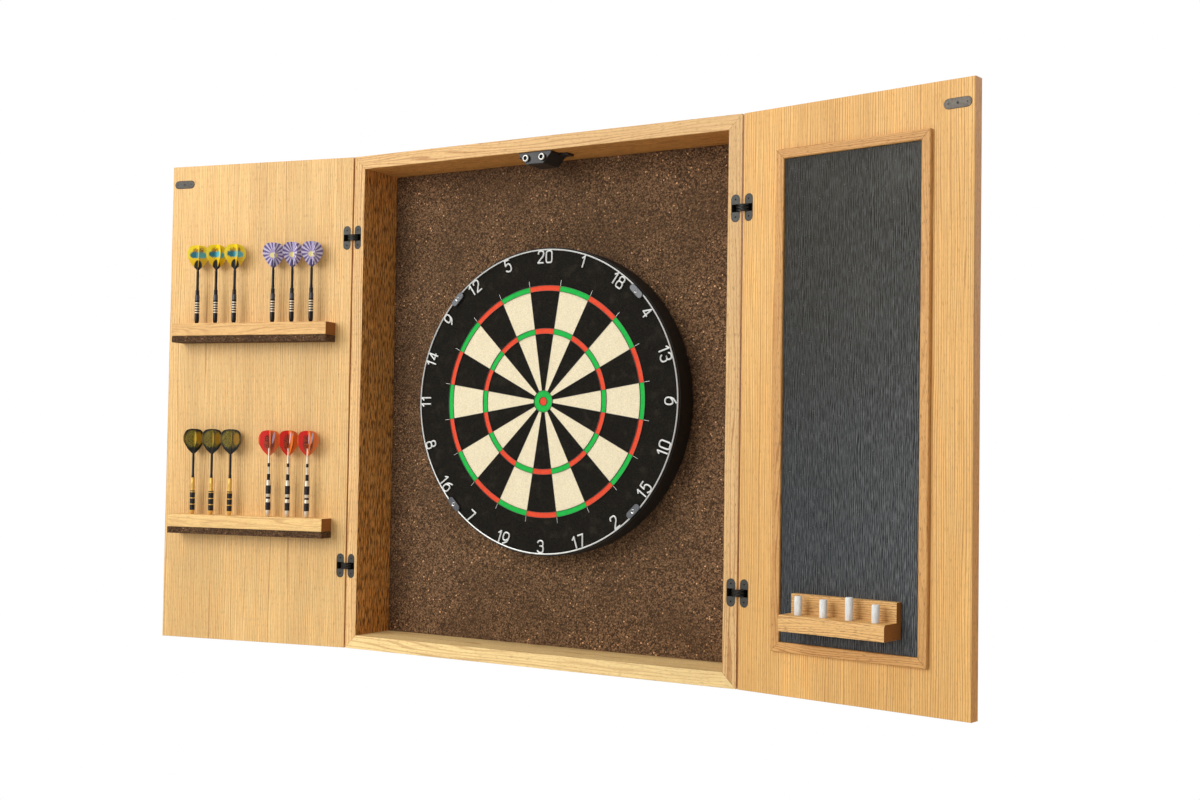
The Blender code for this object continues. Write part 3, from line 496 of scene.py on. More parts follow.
# ---------------------------------------------------------------- shapes
def door_hinge(side):
    """Where a door's hinge line stands, and how far the door is swung open, in radians."""
    joint = next(j for j in frame["joints"] if j["name"] == f"{side}_door_hinge")
    return Vector(joint["pos_m"]), -radians(joint["range_deg"][0]) * joint["axis"][2]


def on_door(side):
    """From a door's own frame, hinge line at the origin and shut, to where the door stands."""
    hinge, turn = door_hinge(side)
    return Matrix.Translation(hinge) @ Matrix.Rotation(turn, 4, "Z")


def door_box(node, side):
    """The corners of a CAD node in its door's own frame."""
    back = on_door(side).inverted()
    points = [back @ v.co for v in frame["nodes"][node].data.vertices]
    return [Vector([pick(p[i] for p in points) for i in range(3)]) for pick in (min, max)]


def middle(low, high, **levels):
    """The middle between two corners, with a coordinate replaced where one is given."""
    point = (low + high) / 2
    for axis, level in levels.items():
        setattr(point, axis, level)
    return point


FLAT_WIDTH = 0.002  # faces wider than this stay flat, and the narrow ones of a rounding are smooth
FORWARD = Matrix.Rotation(pi / 2, 4, "X")  # stands a turned shape's top towards the viewer
INWARD = Matrix.Rotation(-pi / 2, 4, "X")  # stands it out of a door's inner face


def soften(shape, places, offset, segments=2, affect="EDGES", clamp=False):
    """Rounds edges or corners."""
    bmesh.ops.bevel(shape, geom=places, offset=offset, offset_type="OFFSET", segments=segments,
                    profile=0.5, affect=affect, material=-1, clamp_overlap=clamp)


def smooth_narrow(shape):
    for face in shape.faces:
        face.smooth = face.calc_area() < FLAT_WIDTH * max(e.calc_length() for e in face.edges)


def moved(shape, matrix):
    bmesh.ops.transform(shape, matrix=matrix, verts=shape.verts)
    return shape


def copy_of(node, rounding=0.0, segments=2, shortest=0.0, sharp=60):
    """A clean copy of a CAD node, its sharp edges rounded."""
    shape = bmesh.new()
    shape.from_mesh(frame["nodes"][node].data)
    bmesh.ops.remove_doubles(shape, verts=shape.verts, dist=1e-5)
    bmesh.ops.dissolve_limit(shape, angle_limit=radians(1), verts=shape.verts, edges=shape.edges)
    edges = [e for e in shape.edges if len(e.link_faces) == 2
             and e.calc_face_angle() > radians(sharp) and e.calc_length() > shortest]
    if rounding:
        soften(shape, edges, rounding, segments, clamp=True)
    shape.normal_update()
    smooth_narrow(shape)
    return shape


def turned(sections, steps=32, matrix=Matrix()):
    """A shape turned about +Z. Each section is a finish number and its (radius, height) points."""
    shape = bmesh.new()
    for number, points in sections:
        before = set(shape.faces)
        verts = [shape.verts.new((radius, 0, height)) for radius, height in points]
        edges = [shape.edges.new(pair) for pair in zip(verts, verts[1:])]
        bmesh.ops.spin(shape, geom=verts + edges, cent=(0, 0, 0), axis=(0, 0, 1), angle=2 * pi,
                       steps=steps, use_merge=True)
        for face in set(shape.faces) - before:
            face.material_index = number
            face.smooth = True
    bmesh.ops.remove_doubles(shape, verts=shape.verts, dist=1e-6)
    bmesh.ops.recalc_face_normals(shape, faces=shape.faces)
    return moved(shape, matrix)


def pill_plate(length, width, thickness, rounding, matrix):
    """A plate with round ends, lying on z = 0, its length along x."""
    shape = bmesh.new()
    bmesh.ops.create_cube(shape, size=1, matrix=Matrix.Translation((0, 0, thickness / 2))
                          @ Matrix.Diagonal((length, width, thickness, 1)))
    soften(shape, [e for e in shape.edges if abs(e.verts[0].co.z - e.verts[1].co.z) > thickness / 2],
           width * 0.49, 7)
    soften(shape, [e for e in shape.edges if all(v.co.z > thickness * 0.9 for v in e.verts)
                   and e.calc_face_angle(0) > radians(40)], rounding)
    smooth_narrow(shape)
    return moved(shape, matrix)


def mesh_of(name, shape):
    """A shape as a mesh. The shape is used up."""
    mesh = bpy.data.meshes.new(name)
    shape.to_mesh(mesh)
    shape.free()
    return mesh


def add_to(shape, other):
    """Puts another shape's faces into this one."""
    carrier = mesh_of("carrier", other)
    shape.from_mesh(carrier)
    bpy.data.meshes.remove(carrier)


def placed(name, data):
    """A new object at the origin, linked into the scene."""
    made = bpy.data.objects.new(name, data)
    bpy.context.scene.collection.objects.link(made)
    return made


def piece(name, shape, finishes, body, slot, *stands_for, sharp=35):
    """A finished piece: its mesh and finishes, the body it rides on, and the CAD nodes it stands for."""
    for edge in shape.edges:
        edge.smooth = edge.calc_face_angle(0) < radians(sharp)
    mesh = mesh_of(name, shape)
    for finish in finishes:
        mesh.materials.append(finish)
    made = placed(name, mesh)
    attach(made, body)
    if stands_for:
        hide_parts(*stands_for)


def number_faces(shape, number, wanted):
    """Gives the faces whose normal passes a test another finish."""
    for face in shape.faces:
        if wanted(face.normal):
            face.material_index = number


def screw(radius, matrix, head, recess):
    """A countersunk screw with a round recess in its head."""
    rim = (radius * 0.62, -radius * 0.08)
    return turned([(head, [rim, (radius * 0.88, 0.0), (radius, -radius * 0.12), (radius, -radius * 0.6),
                           (0, -radius * 1.2)]),
                   (recess, [(0, -radius * 0.8), (radius * 0.40, -radius * 0.65), rim])], 16, matrix)


# ---------------------------------------------------------------- pieces
class DARTS_OT_carcass(bpy.types.Operator):
    """Mitred oak frame, its back and the cork lining"""
    bl_idname = "dart_cabinet.carcass"
    bl_label = "Carcass"

    def execute(self, context):
        tones = context.scene.dart_wood
        along_x = ready("frame oak lengthways", wood, tones.frame, "X", spacing=0.0042, contrast=0.6,
                        pores=0.55)
        # Painted light and shade: the left upright is a lighter copy and the right upright a darker copy of
        # the frame oak, as if lit from the left.
        left_z = ready("left frame oak", wood, times(tones.frame, 1.06), "Z", spacing=0.005)
        right_z = ready("right frame oak", wood, times(tones.frame, 0.94), "Z", spacing=0.005)
        # Painted shade: the inner faces take the darker inside tone, the inner top darkest as it faces down.
        inside_x = ready("frame inside lengthways", wood, tones.frame_inside, "X", spacing=0.006,
                         figure=0.008, flecks=0.35)
        inside_z = ready("frame inside upright", wood, times(tones.frame_inside, 1.15), "Z",
                         spacing=0.0042, contrast=0.9, pores=1.0, flecks=0.9)
        # Painted light: both faces of the bottom board take the lighter tone and weaker grain.
        pale = ready("bottom board oak", wood, tones.bottom, "X", spacing=0.006, figure=0.008,
                     contrast=0.5, pores=0.5)
        boards = {"top_board": (along_x, inside_x), "bottom_board": (pale, pale),
                  "left_side_board": (left_z, inside_z), "right_side_board": (right_z, inside_z)}
        for node, finishes in boards.items():
            shape = copy_of(node, tones.arris, shortest=0.09)
            inward = -middle(*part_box(node)).normalized()
            number_faces(shape, 1, lambda normal: normal.dot(inward) > 0.9)
            piece(f"{node}_finished", shape, finishes, "cabinet", "solid_oak", node)
        back = ready("back board", wood, times(tones.frame, 0.8), "Z", spacing=0.009, contrast=0.35)
        piece("back_panel_finished", copy_of("back_panel", tones.arris), (back,), "cabinet",
              "oak_veneer", "back_panel")
        lining = ready("cork lining", cork, shade(85, 62, 42), shade(136, 103, 73), 0.0019)
        piece("cork_lining", copy_of("cork_panel", 0.0004), (lining,), "cabinet", "cork", "cork_panel")
        return {"FINISHED"}


class DARTS_OT_doors(bpy.types.Operator):
    """Both veneered doors"""
    bl_idname = "dart_cabinet.doors"
    bl_label = "Doors"

    def execute(self, context):
        tones = context.scene.dart_wood
        looks = {"left": (tones.left_door, dict(figure=0.0010, pores=0.45, bunching=0.45)),
                 "right": (tones.right_door, dict(figure=0.0015, pores=0.35, bunching=0.15))}
        for side, (colour, look) in looks.items():
            face = ready(f"{side} door veneer", wood, colour, "Z", side, spacing=0.0030, contrast=0.62,
                         **look)
            # Painted shade: the door edges take a copy of the darker inside tone.
            edge = ready(f"{side} door edge", wood, times(tones.frame_inside, 1.1), "Z", side,
                         spacing=0.004, contrast=0.4)
            node = f"{side}_door_panel"
            shape = copy_of(node, tones.arris, shortest=0.03)
            out = on_door(side).to_3x3() @ Vector((0, 1, 0))
            number_faces(shape, 1, lambda normal: abs(normal.dot(out)) < 0.4)
            piece(f"{side}_door_finished", shape, (face, edge), f"{side}_door", "oak_veneer", node)
        return {"FINISHED"}


SCREW_SPACING = 0.0235  # between the two screws of a hinge cup
SCREW_SUNK = 0.0001  # how far a head lies below the cup's face


class DARTS_OT_hinges(bpy.types.Operator):
    """Hinge cups with their screws, and the leaved arms"""
    bl_idname = "dart_cabinet.hinges"
    bl_label = "Hinges"

    def execute(self, context):
        choice = context.scene.dart_fittings
        cast = ready("hinge metal", metal, choice.hinge, 0.5, metallic=0.35, mottle=0.35)
        leaf = ready("hinge leaves", metal, times(choice.hinge, 0.38), 0.45, metallic=0.5, mottle=0.4,
                     size=0.0015)
        steel = ready("screw steel", metal, shade(84, 85, 83), 0.4, metallic=0.6)
        for side in ("left", "right"):
            for end in ("upper", "lower"):
                for half in ("frame", "door"):
                    name = f"{side}_{end}_hinge_{half}"
                    node = f"{name}_cup"
                    shape = copy_of(node, choice.rounding)
                    if half == "frame":
                        low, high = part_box(node)
                        stand = Matrix.Translation(middle(low, high, y=low.y)) @ FORWARD
                    else:
                        low, high = door_box(node, side)
                        stand = on_door(side) @ Matrix.Translation(middle(low, high, y=high.y)) @ INWARD
                    # The screws' recesses take the near-black painted shade.
                    for along in (-SCREW_SPACING / 2, SCREW_SPACING / 2):
                        place = stand @ Matrix.Translation((0, along, -SCREW_SUNK))
                        add_to(shape, screw(choice.screw_radius, place, 2, 1))
                    piece(f"{name}_cup_finished", shape, (cast, screw_recess(), steel),
                          "cabinet" if half == "frame" else f"{side}_door", "hinge_metal", node)
                    piece(f"{name}_arm_finished", copy_of(f"{name}_arm", 0.0002, 1), (leaf,),
                          f"{side}_{end}_{half}_arm", "hinge_metal", f"{name}_arm")
        return {"FINISHED"}


STRIKE_HOLES = ((-0.0125, 0.0010), (0, 0.0017), (0.0125, 0.0010))  # place along the plate, and radius
# The dark discs are painted shade standing for the plate's holes.
HOLE_TOP, HOLE_FOOT = 0.00005, -0.0003  # a dark disc stands just proud of the plate


class DARTS_OT_strikes(bpy.types.Operator):
    """Strike plates that the catch's plungers meet"""
    bl_idname = "dart_cabinet.strikes"
    bl_label = "Strike plates"

    def execute(self, context):
        choice = context.scene.dart_fittings
        # Painted shade: the left strike plate is a darker copy of the same metal.
        for side, lit_share in (("left", 0.55), ("right", 1.0)):
            node = f"{side}_strike_plate"
            plate = ready(f"{side} strike metal", metal, times(choice.strike, lit_share), 0.5, metallic=0.35,
                          mottle=0.6)
            shape = copy_of(node, 0.0004)
            low, high = door_box(node, side)
            stand = on_door(side) @ Matrix.Translation(middle(low, high, y=high.y)) @ INWARD
            for along, r in STRIKE_HOLES:
                add_to(shape, turned([(1, [(0, HOLE_TOP), (r, HOLE_TOP), (r, HOLE_FOOT), (0, HOLE_FOOT)])],
                                     12, stand @ Matrix.Translation((along, 0, 0))))
            piece(f"{side}_strike_finished", shape, (plate, screw_recess()), f"{side}_door",
                  "strike_metal", node)
        return {"FINISHED"}


# The end of a plunger, as (share of its radius, height): a dark hollow inside a bright ring.
PLUNGER_HOLLOW = ((0, -0.0034), (0.44, -0.0032), (0.54, -0.0008))
PLUNGER_RING = ((0.54, -0.0008), (0.62, -0.0001), (0.74, 0), (0.88, -0.0003), (0.96, -0.0009), (1, -0.0018))


class DARTS_OT_catch(bpy.types.Operator):
    """Double push catch under the top board"""
    bl_idname = "dart_cabinet.catch"
    bl_label = "Catch"

    def execute(self, context):
        choice = context.scene.dart_fittings
        black = ready("catch plastic", plastic, choice.plastic)
        ring = ready("plunger ring", metal, shade(206, 204, 196), metallic=0.7, mottle=0.2)
        hollow = ready("plunger hollow", plastic, shade(12, 12, 12), 0.7)
        piece("catch_housing_finished", copy_of("catch_housing", 0.0006, sharp=50), (black,), "cabinet",
              "black_plastic", "catch_housing")
        for side in ("left", "right"):
            node = f"{side}_catch_plunger"
            low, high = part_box(node)
            r, foot = (high.x - low.x) / 2, low.y - high.y
            shape = turned([(2, [(share * r, height) for share, height in PLUNGER_HOLLOW]),
                            (1, [(share * r, height) for share, height in PLUNGER_RING]),
                            (0, [(r, PLUNGER_RING[-1][1]), (r, foot), (0, foot)])],
                           32, Matrix.Translation(middle(low, high, y=low.y)) @ FORWARD)
            piece(f"{side}_plunger_finished", shape, (black, ring, hollow), f"{side}_plunger",
                  "black_plastic", node)
        return {"FINISHED"}


def bed_of(x, z):
    """Finish number of the bed at this place: 0 black, 1 cream, 2 red, 3 green."""
    radius = hypot(x, z)
    if radius < INNER_BULL:
        return 2
    if radius < OUTER_BULL:
        return 3
    if radius > DOUBLE_OUTER:
        return 0
    dark = round((90 - degrees(atan2(z, x))) / SECTOR) % 2 == 0
    scoring = TRIPLE_INNER < radius < TRIPLE_OUTER or DOUBLE_INNER < radius
    if scoring:
        return 2 if dark else 3
    return 0 if dark else 1


BOARD_STEPS = 160  # faces round the board, its bands and its rings
HUB_RADIUS, HUB_DEPTH = 0.012, 0.010  # the hole in the board's back that the bracket enters
RIM_GAP = 0.0002  # between the bristle and the band round it


class DARTS_OT_board(bpy.types.Operator):
    """Bristle board with its beds, rim band, wires and wall bracket"""
    bl_idname = "dart_cabinet.board"
    bl_label = "Bristle board"

    def execute(self, context):
        choice = context.scene.dart_board
        beds = (ready("black sisal", sisal, choice.black, shade(66, 58, 48), 0.6),
                ready("cream sisal", sisal, choice.cream, shade(214, 196, 160)),
                ready("red sisal", sisal, choice.red, shade(176, 60, 44)),
                ready("green sisal", sisal, choice.green, shade(40, 136, 66)))
        outer, front, back = BOARD_HIGH.x, -BOARD_FRONT, -BOARD_BACK
        radii = (0, INNER_BULL, OUTER_BULL, 0.045, 0.072, TRIPLE_INNER, TRIPLE_OUTER, 0.135,
                 DOUBLE_INNER, DOUBLE_OUTER, 0.2, outer - 0.002)  # the long beds are split
        profile = [(r, front) for r in radii]
        profile += [(outer, front - 0.0015), (outer, back), (HUB_RADIUS, back),
                    (HUB_RADIUS, back + HUB_DEPTH), (0, back + HUB_DEPTH)]
        disc = turned([(0, profile)], BOARD_STEPS, FORWARD)
        for face in disc.faces:
            at = face.calc_center_median()
            if face.normal.y < -0.9 and at.y < BOARD_FRONT + 0.001:
                face.material_index = bed_of(at.x, at.z)
        piece("bristle_disc", disc, beds, "dartboard", "bristle", "dartboard_bristle_disc")

        rim = ready("rim band", plastic, shade(6, 6, 5), 0.65)
        rim_out, rim_in = BAND_HIGH.x, BOARD_HIGH.x + RIM_GAP
        band = turned([(0, [(rim_in, back), (rim_out, back), (rim_out, front - 0.0004),
                            (rim_out - 0.0003, front), (rim_in, front), (rim_in, back)])],
                      BOARD_STEPS, FORWARD)
        piece("rim_band_finished", band, (rim,), "dartboard", "band", "dartboard_rim_band")

        # Painted shade and painted highlight: the same wire is darker within the beds and bright at its outer
        # ends.
        wire = ready("spider wire", metal, shade(84, 82, 78), 0.45, metallic=0.5)
        bright = ready("spider wire ends", metal, shade(206, 206, 200), 0.35, metallic=0.4)
        half = choice.wire_width / 2
        crest = -WIRE_LOW.y
        spider = bmesh.new()
        for radius in (INNER_BULL, OUTER_BULL, TRIPLE_INNER, TRIPLE_OUTER, DOUBLE_INNER, DOUBLE_OUTER):
            loop = [(radius - half, front), (radius - half * 0.4, crest), (radius + half * 0.4, crest),
                    (radius + half, front), (radius - half, front)]
            add_to(spider, turned([(0, loop)], BOARD_STEPS, FORWARD))
        reach = hypot(WIRE_HIGH.x, WIRE_HIGH.x * sin(radians(SECTOR / 2)))
        for step in range(len(NUMBERS)):
            turn = FORWARD @ Matrix.Rotation(radians(SECTOR / 2 + step * SECTOR), 4, "Z")
            for number, low, high, width in ((0, OUTER_BULL, DOUBLE_OUTER, half),
                                             (1, DOUBLE_OUTER, reach, half * 1.15)):
                spoke = bmesh.new()
                bmesh.ops.create_cone(spoke, cap_ends=True, segments=6, radius1=width, radius2=width,
                                      depth=high - low)
                number_faces(spoke, number, lambda normal: True)
                add_to(spider, moved(spoke, turn @ Matrix.Translation(((low + high) / 2, 0, front + half / 2))
                                     @ Matrix.Rotation(pi / 2, 4, "Y")))
        piece("spider_wires", spider, (wire, bright), "dartboard", "wire", "dartboard_wire_grid")

        steel = ready("bracket steel", metal, shade(96, 98, 98), 0.4, metallic=0.9)
        piece("bracket_finished", copy_of("dartboard_bracket", 0.0006), (steel,), "cabinet",
              "bracket_steel", "dartboard_bracket")
        return {"FINISHED"}


def numeral_strokes(number, height, width):
    """The strokes of a number, laid flat about the middle of its foot."""
    text = str(number)
    widths = [0.5 * width if digit == "1" else width for digit in text]
    gap = width * 0.46
    left = -(sum(widths) + gap * (len(text) - 1)) / 2
    strokes = []
    for digit, own in zip(text, widths):
        middle = left + own / 2
        strokes += [[(middle + x * width, y * height) for x, y in stroke] for stroke in STROKES[digit]]
        left += own + gap
    return strokes


CLIP_ANGLES = (45, 135, 225, 315)
CLIP_SIZE = (0.025, 0.010, 0.0018, 0.0006)  # length, width, thickness and rounding
CLIP_INSET = 0.0032  # from the ring's wire in to the middle of a clip
CLIP_SCREW, CLIP_SCREW_TOP = 0.0030, 0.0026  # radius and height of the screw's head
CLIP_POST = 0.0022  # radius of the post under a clip


class DARTS_OT_number_ring(bpy.types.Operator):
    """Wire ring, its bent wire numerals and the clips that hold it"""
    bl_idname = "dart_cabinet.number_ring"
    bl_label = "Number ring"

    def execute(self, context):
        choice = context.scene.dart_board
        bright = ready("ring wire", metal, shade(218, 218, 214), 0.4, metallic=0.6, mottle=0.2)
        thick = (RING_HIGH.y - RING_LOW.y) / 2
        radius, level = RING_HIGH.x - thick, -(RING_LOW.y + RING_HIGH.y) / 2
        loop = [(radius + thick * cos(radians(a)), level + thick * sin(radians(a)))
                for a in range(0, 361, 45)]
        piece("number_ring_wire", turned([(0, loop)], BOARD_STEPS, FORWARD), (bright,), "number_ring",
              "wire", "number_ring")

        line = bpy.data.curves.new("numerals", "CURVE")
        line.dimensions, line.resolution_u = "3D", 6
        line.bevel_depth, line.bevel_resolution = choice.numeral_wire / 2, 2
        line.use_fill_caps = True
        head = radius - thick - choice.numeral_wire * 0.3
        foot = head - choice.numeral_height
        for index, number in enumerate(NUMBERS):
            angle = radians(90 - SECTOR * index)
            start, turn = (head, angle + pi / 2) if number in TURNED_IN else (foot, angle - pi / 2)
            stand = (FORWARD @ Matrix.Translation((start * cos(angle), start * sin(angle), level))
                     @ Matrix.Rotation(turn, 4, "Z"))
            for stroke in numeral_strokes(number, choice.numeral_height, choice.numeral_width):
                spline = line.splines.new("NURBS")
                spline.points.add(len(stroke) - 1)
                for point, (x, y) in zip(spline.points, stroke):
                    point.co = (*(stand @ Vector((x, y, 0))), 1)
                spline.order_u = 3
                spline.use_endpoint_u = True
        bent = placed("bent_wire", line)
        shape = bmesh.new()
        carrier = bpy.data.meshes.new_from_object(bent.evaluated_get(context.evaluated_depsgraph_get()))
        shape.from_mesh(carrier)
        for face in shape.faces:
            face.smooth = True
        bpy.data.objects.remove(bent)
        bpy.data.curves.remove(line)
        bpy.data.meshes.remove(carrier)
        dull = ready("numeral wire", metal, shade(226, 226, 221), 0.45, metallic=0.35, mottle=0.2)
        piece("wire_numerals", shape, (dull,), "number_ring", "wire")

        smoky = ready("clip plastic", plastic, shade(72, 74, 78), 0.3)
        head_steel = ready("clip screw", metal, shade(208, 208, 206), 0.25, metallic=0.95)
        above = -RING_LOW.y + 0.0002
        foot = BOARD_FRONT + above
        clips = bmesh.new()
        for angle in CLIP_ANGLES:
            stand = (FORWARD @ Matrix.Rotation(radians(angle), 4, "Z")
                     @ Matrix.Translation((radius - CLIP_INSET, 0, above)) @ Matrix.Rotation(pi / 2, 4, "Z"))
            add_to(clips, pill_plate(*CLIP_SIZE, stand))
            # The clip screw's recess takes the near-black painted shade.
            add_to(clips, screw(CLIP_SCREW, stand @ Matrix.Translation((0, 0, CLIP_SCREW_TOP)), 1, 2))
            add_to(clips, turned([(0, [(0, 0), (CLIP_POST, 0), (CLIP_POST, foot), (0, foot)])],
                                 12, stand @ Matrix.Translation((0, 0, -foot))))
        piece("ring_clips", clips, (smoky, head_steel, screw_recess()), "dartboard", "black_plastic")
        return {"FINISHED"}


class DARTS_OT_racks(bpy.types.Operator):
    """Two dart racks on the left door, oak over a strip of cork"""
    bl_idname = "dart_cabinet.racks"
    bl_label = "Dart racks"

    def execute(self, context):
        tones = context.scene.dart_wood
        grain = dict(spacing=0.005, figure=0.014, contrast=0.5, pores=0.35)
        rails = {"upper": ready("rack oak", wood, tones.trim, "X", "left", **grain),
                 "lower": ready("pale rack oak", wood, times(tones.left_door, 1.08), "X", "left", **grain)}
        ends = ready("rack oak ends", end_grain, "left")
        strip = ready("rack cork", cork, shade(74, 51, 33), shade(108, 79, 53), 0.0016)
        along = on_door("left").to_3x3() @ Vector((1, 0, 0))
        for level, rail in rails.items():
            shape = copy_of(f"{level}_rack_rail", 0.0008, shortest=0.018)
            number_faces(shape, 1, lambda normal: abs(normal.dot(along)) > 0.8)
            piece(f"{level}_rail_finished", shape, (rail, ends), "left_door", "solid_oak",
                  f"{level}_rack_rail")
            piece(f"{level}_cork_finished", copy_of(f"{level}_rack_cork", 0.0004, shortest=0.009),
                  (strip,), "left_door", "cork", f"{level}_rack_cork")
        return {"FINISHED"}


# The turned body of each kind of dart, from its nose up: (finish, length, radius), in millimetres.
# Finishes: 0 black, 1 bright metal, 2 knurled, 3 point, 4 rubbed black, 5 film of the flight.
GROOVED = ((0, 17.2, 3.7), *((1, 1.9, 3.4), (0, 2.0, 3.7)) * 4, (1, 1.9, 3.4), (0, 2.9, 3.7),
           (4, 8.4, 3.55), (0, 8.0, 3.0), (0, 5, 2.3), (0, 25, 2.1), (0, 3, 1.8))
TURNINGS = {
    "yellow": GROOVED,
    "violet": GROOVED,
    "brass": ((1, 6.6, 4.0), (2, 8.6, 4.1), (1, 1.4, 3.6), *((2, 8.4, 4.1), (1, 1.4, 3.6)) * 2,
              (2, 1.5, 4.1), *((1, 4.0, 3.2), (1, 0.8, 2.8)) * 2, (1, 4.0, 3.2), (1, 7.2, 2.9),
              (0, 5, 2.2), (0, 29, 1.9), (0, 4, 1.8)),
    "red": ((1, 10.4, 3.9), (2, 12.2, 4.0), (1, 5.3, 3.9), (0, 3.2, 3.5), (1, 4.7, 3.9), (2, 13.3, 4.0),
            (1, 8.4, 3.6), (0, 9.5, 2.6), (1, 11.3, 2.0), (0, 5.7, 2.1), (1, 11.7, 1.8)),
}
# Half the outline of a vane, as shares of its half width and its length.
VANE = ((0.094, 0.0), (0.55, 0.18), (1.0, 0.50), (1.0, 0.74), (0.72, 0.95), (0.30, 1.0))
VANE_HALF_WIDTH, VANE_LENGTH, VANE_THICKNESS = 0.017, 0.040, 0.0005
TWISTS = (45.0, 54.0, 38.0)  # how far a dart is turned about its own length, in degrees
POINT_LENGTH, POINT_TAPER, POINT_RADIUS = 0.027, 0.005, 0.0011
NOSE = ((0.5, 0.0003), (0.78, 0.0016), (0.95, 0.0045), (1.0, 0.0070))  # share of the radius, and height
STEM_RADIUS, STEM_IN_FLIGHT = 0.0017, 0.012  # the stem goes on up between the vanes


def dart_body(kind):
    """The turned barrel and stem, its point below."""
    nose, _, radius = TURNINGS[kind][0]
    last, height = radius / 1000, 0.0
    start = (POINT_RADIUS, NOSE[0][1])
    sections = [(3, [(0, -POINT_LENGTH), (POINT_RADIUS, POINT_TAPER - POINT_LENGTH), start]),
                (nose, [start, *((share * last, level) for share, level in NOSE)])]
    for finish, length, width in TURNINGS[kind]:
        low = height or NOSE[-1][1]
        height += length / 1000
        width /= 1000
        soft = min(0.0006, (height - low) / 4)
        step = [(width, low + soft)] if abs(last - width) > 1e-6 else []
        sections.append((finish, [(last, low), *step, (width, height)]))
        last = width
    stem = height + STEM_IN_FLIGHT
    sections.append((finish, [(last, height), (STEM_RADIUS, height + 0.002), (STEM_RADIUS, stem), (0, stem)]))
    return sections


class DARTS_OT_darts(bpy.types.Operator):
    """Four sets of three darts with turned barrels and printed flights"""
    bl_idname = "dart_cabinet.darts"
    bl_label = "Darts"

    def flight(self, height, rounding):
        """Two crossed vanes, with a map of each for its print."""
        shape = bmesh.new()
        outline = [(x * VANE_HALF_WIDTH, z * VANE_LENGTH) for x, z in VANE]
        outline += [(-x, z) for x, z in reversed(outline)]
        shape.faces.new([shape.verts.new((x, 0, z)) for x, z in outline])
        soften(shape, [v for v in shape.verts if v.co.z > 0.01 * VANE_LENGTH], rounding, 3, "VERTICES", True)
        bmesh.ops.solidify(shape, geom=shape.faces[:], thickness=VANE_THICKNESS)
        low = min(v.co.y for v in shape.verts)
        moved(shape, Matrix.Translation((0, -low - VANE_THICKNESS / 2, 0)))
        layer = shape.loops.layers.uv.new("vane")
        for face in shape.faces:
            face.material_index = 5
            for loop in face.loops:
                at = loop.vert.co
                loop[layer].uv = (at.x / VANE_HALF_WIDTH / 2 + 0.5, at.z / VANE_LENGTH)
        bmesh.ops.duplicate(shape, geom=shape.verts[:] + shape.edges[:] + shape.faces[:])
        half = len(shape.verts) // 2
        shape.verts.index_update()
        shape.verts.ensure_lookup_table()
        bmesh.ops.rotate(shape, verts=shape.verts[half:], cent=(0, 0, 0),
                         matrix=Matrix.Rotation(pi / 2, 3, "Z"))
        for face in shape.faces:
            for loop in face.loops:
                if loop.vert.index >= half:
                    loop[layer].uv.x = 1 - loop[layer].uv.x
        bmesh.ops.recalc_face_normals(shape, faces=shape.faces)
        return moved(shape, Matrix.Translation((0, 0, height)))

    def execute(self, context):
        choice = context.scene.dart_darts
        black = ready("dart black", metal, choice.black, 0.35, metallic=0.5, mottle=0.3)
        knurl = ready("dart knurl", knurled, choice.black)
        # Painted reflection: the bright metal carries a cream tint for the oak it reflects.
        silver = ready("dart silver", metal, choice.silver, 0.42, metallic=0.45, mottle=0.15)
        brass = ready("dart brass", metal, choice.brass, 0.40, metallic=0.5, mottle=0.2)
        rubbed = ready("dart rubbed black", metal, shade(74, 74, 80), 0.4, metallic=0.5, mottle=0.3)
        point = ready("dart point", metal, shade(150, 150, 152), 0.3, metallic=0.9)
        kinds = {"yellow": ("upper", yellow_print), "violet": ("upper", violet_print),
                 "brass": ("lower", brass_print), "red": ("lower", red_print)}
        for kind, (level, draw) in kinds.items():
            film = ready(f"{kind} flight print", flight_print, draw)
            finishes = (black, brass if kind == "brass" else silver, knurl, point, rubbed, film)
            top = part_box(f"{level}_rack_rail")[1].z
            for number in (1, 2, 3):
                node = f"{kind}_dart_{number}"
                low, high = door_box(node, "left")
                shape = turned(dart_body(kind), 24)
                add_to(shape, self.flight(high.z - top - VANE_LENGTH, choice.vane_rounding))
                twist = radians(TWISTS[(number - 1 + len(kind)) % 3])
                moved(shape, on_door("left") @ Matrix.Translation(middle(low, high, z=top))
                      @ Matrix.Rotation(twist, 4, "Z"))
                piece(f"{node}_finished", shape, finishes, node, f"{kind}_dart", node)
        return {"FINISHED"}


CHALK_EDGE, CHALK_WEAR = 0.0006, 0.0004  # rounding of the foot, and how much further each is worn
# The worn end of a chalk, as (share of its radius, height below the top).
CHALK_END = ((0.95, 0.0011), (0.80, 0.0003), (0, 0))


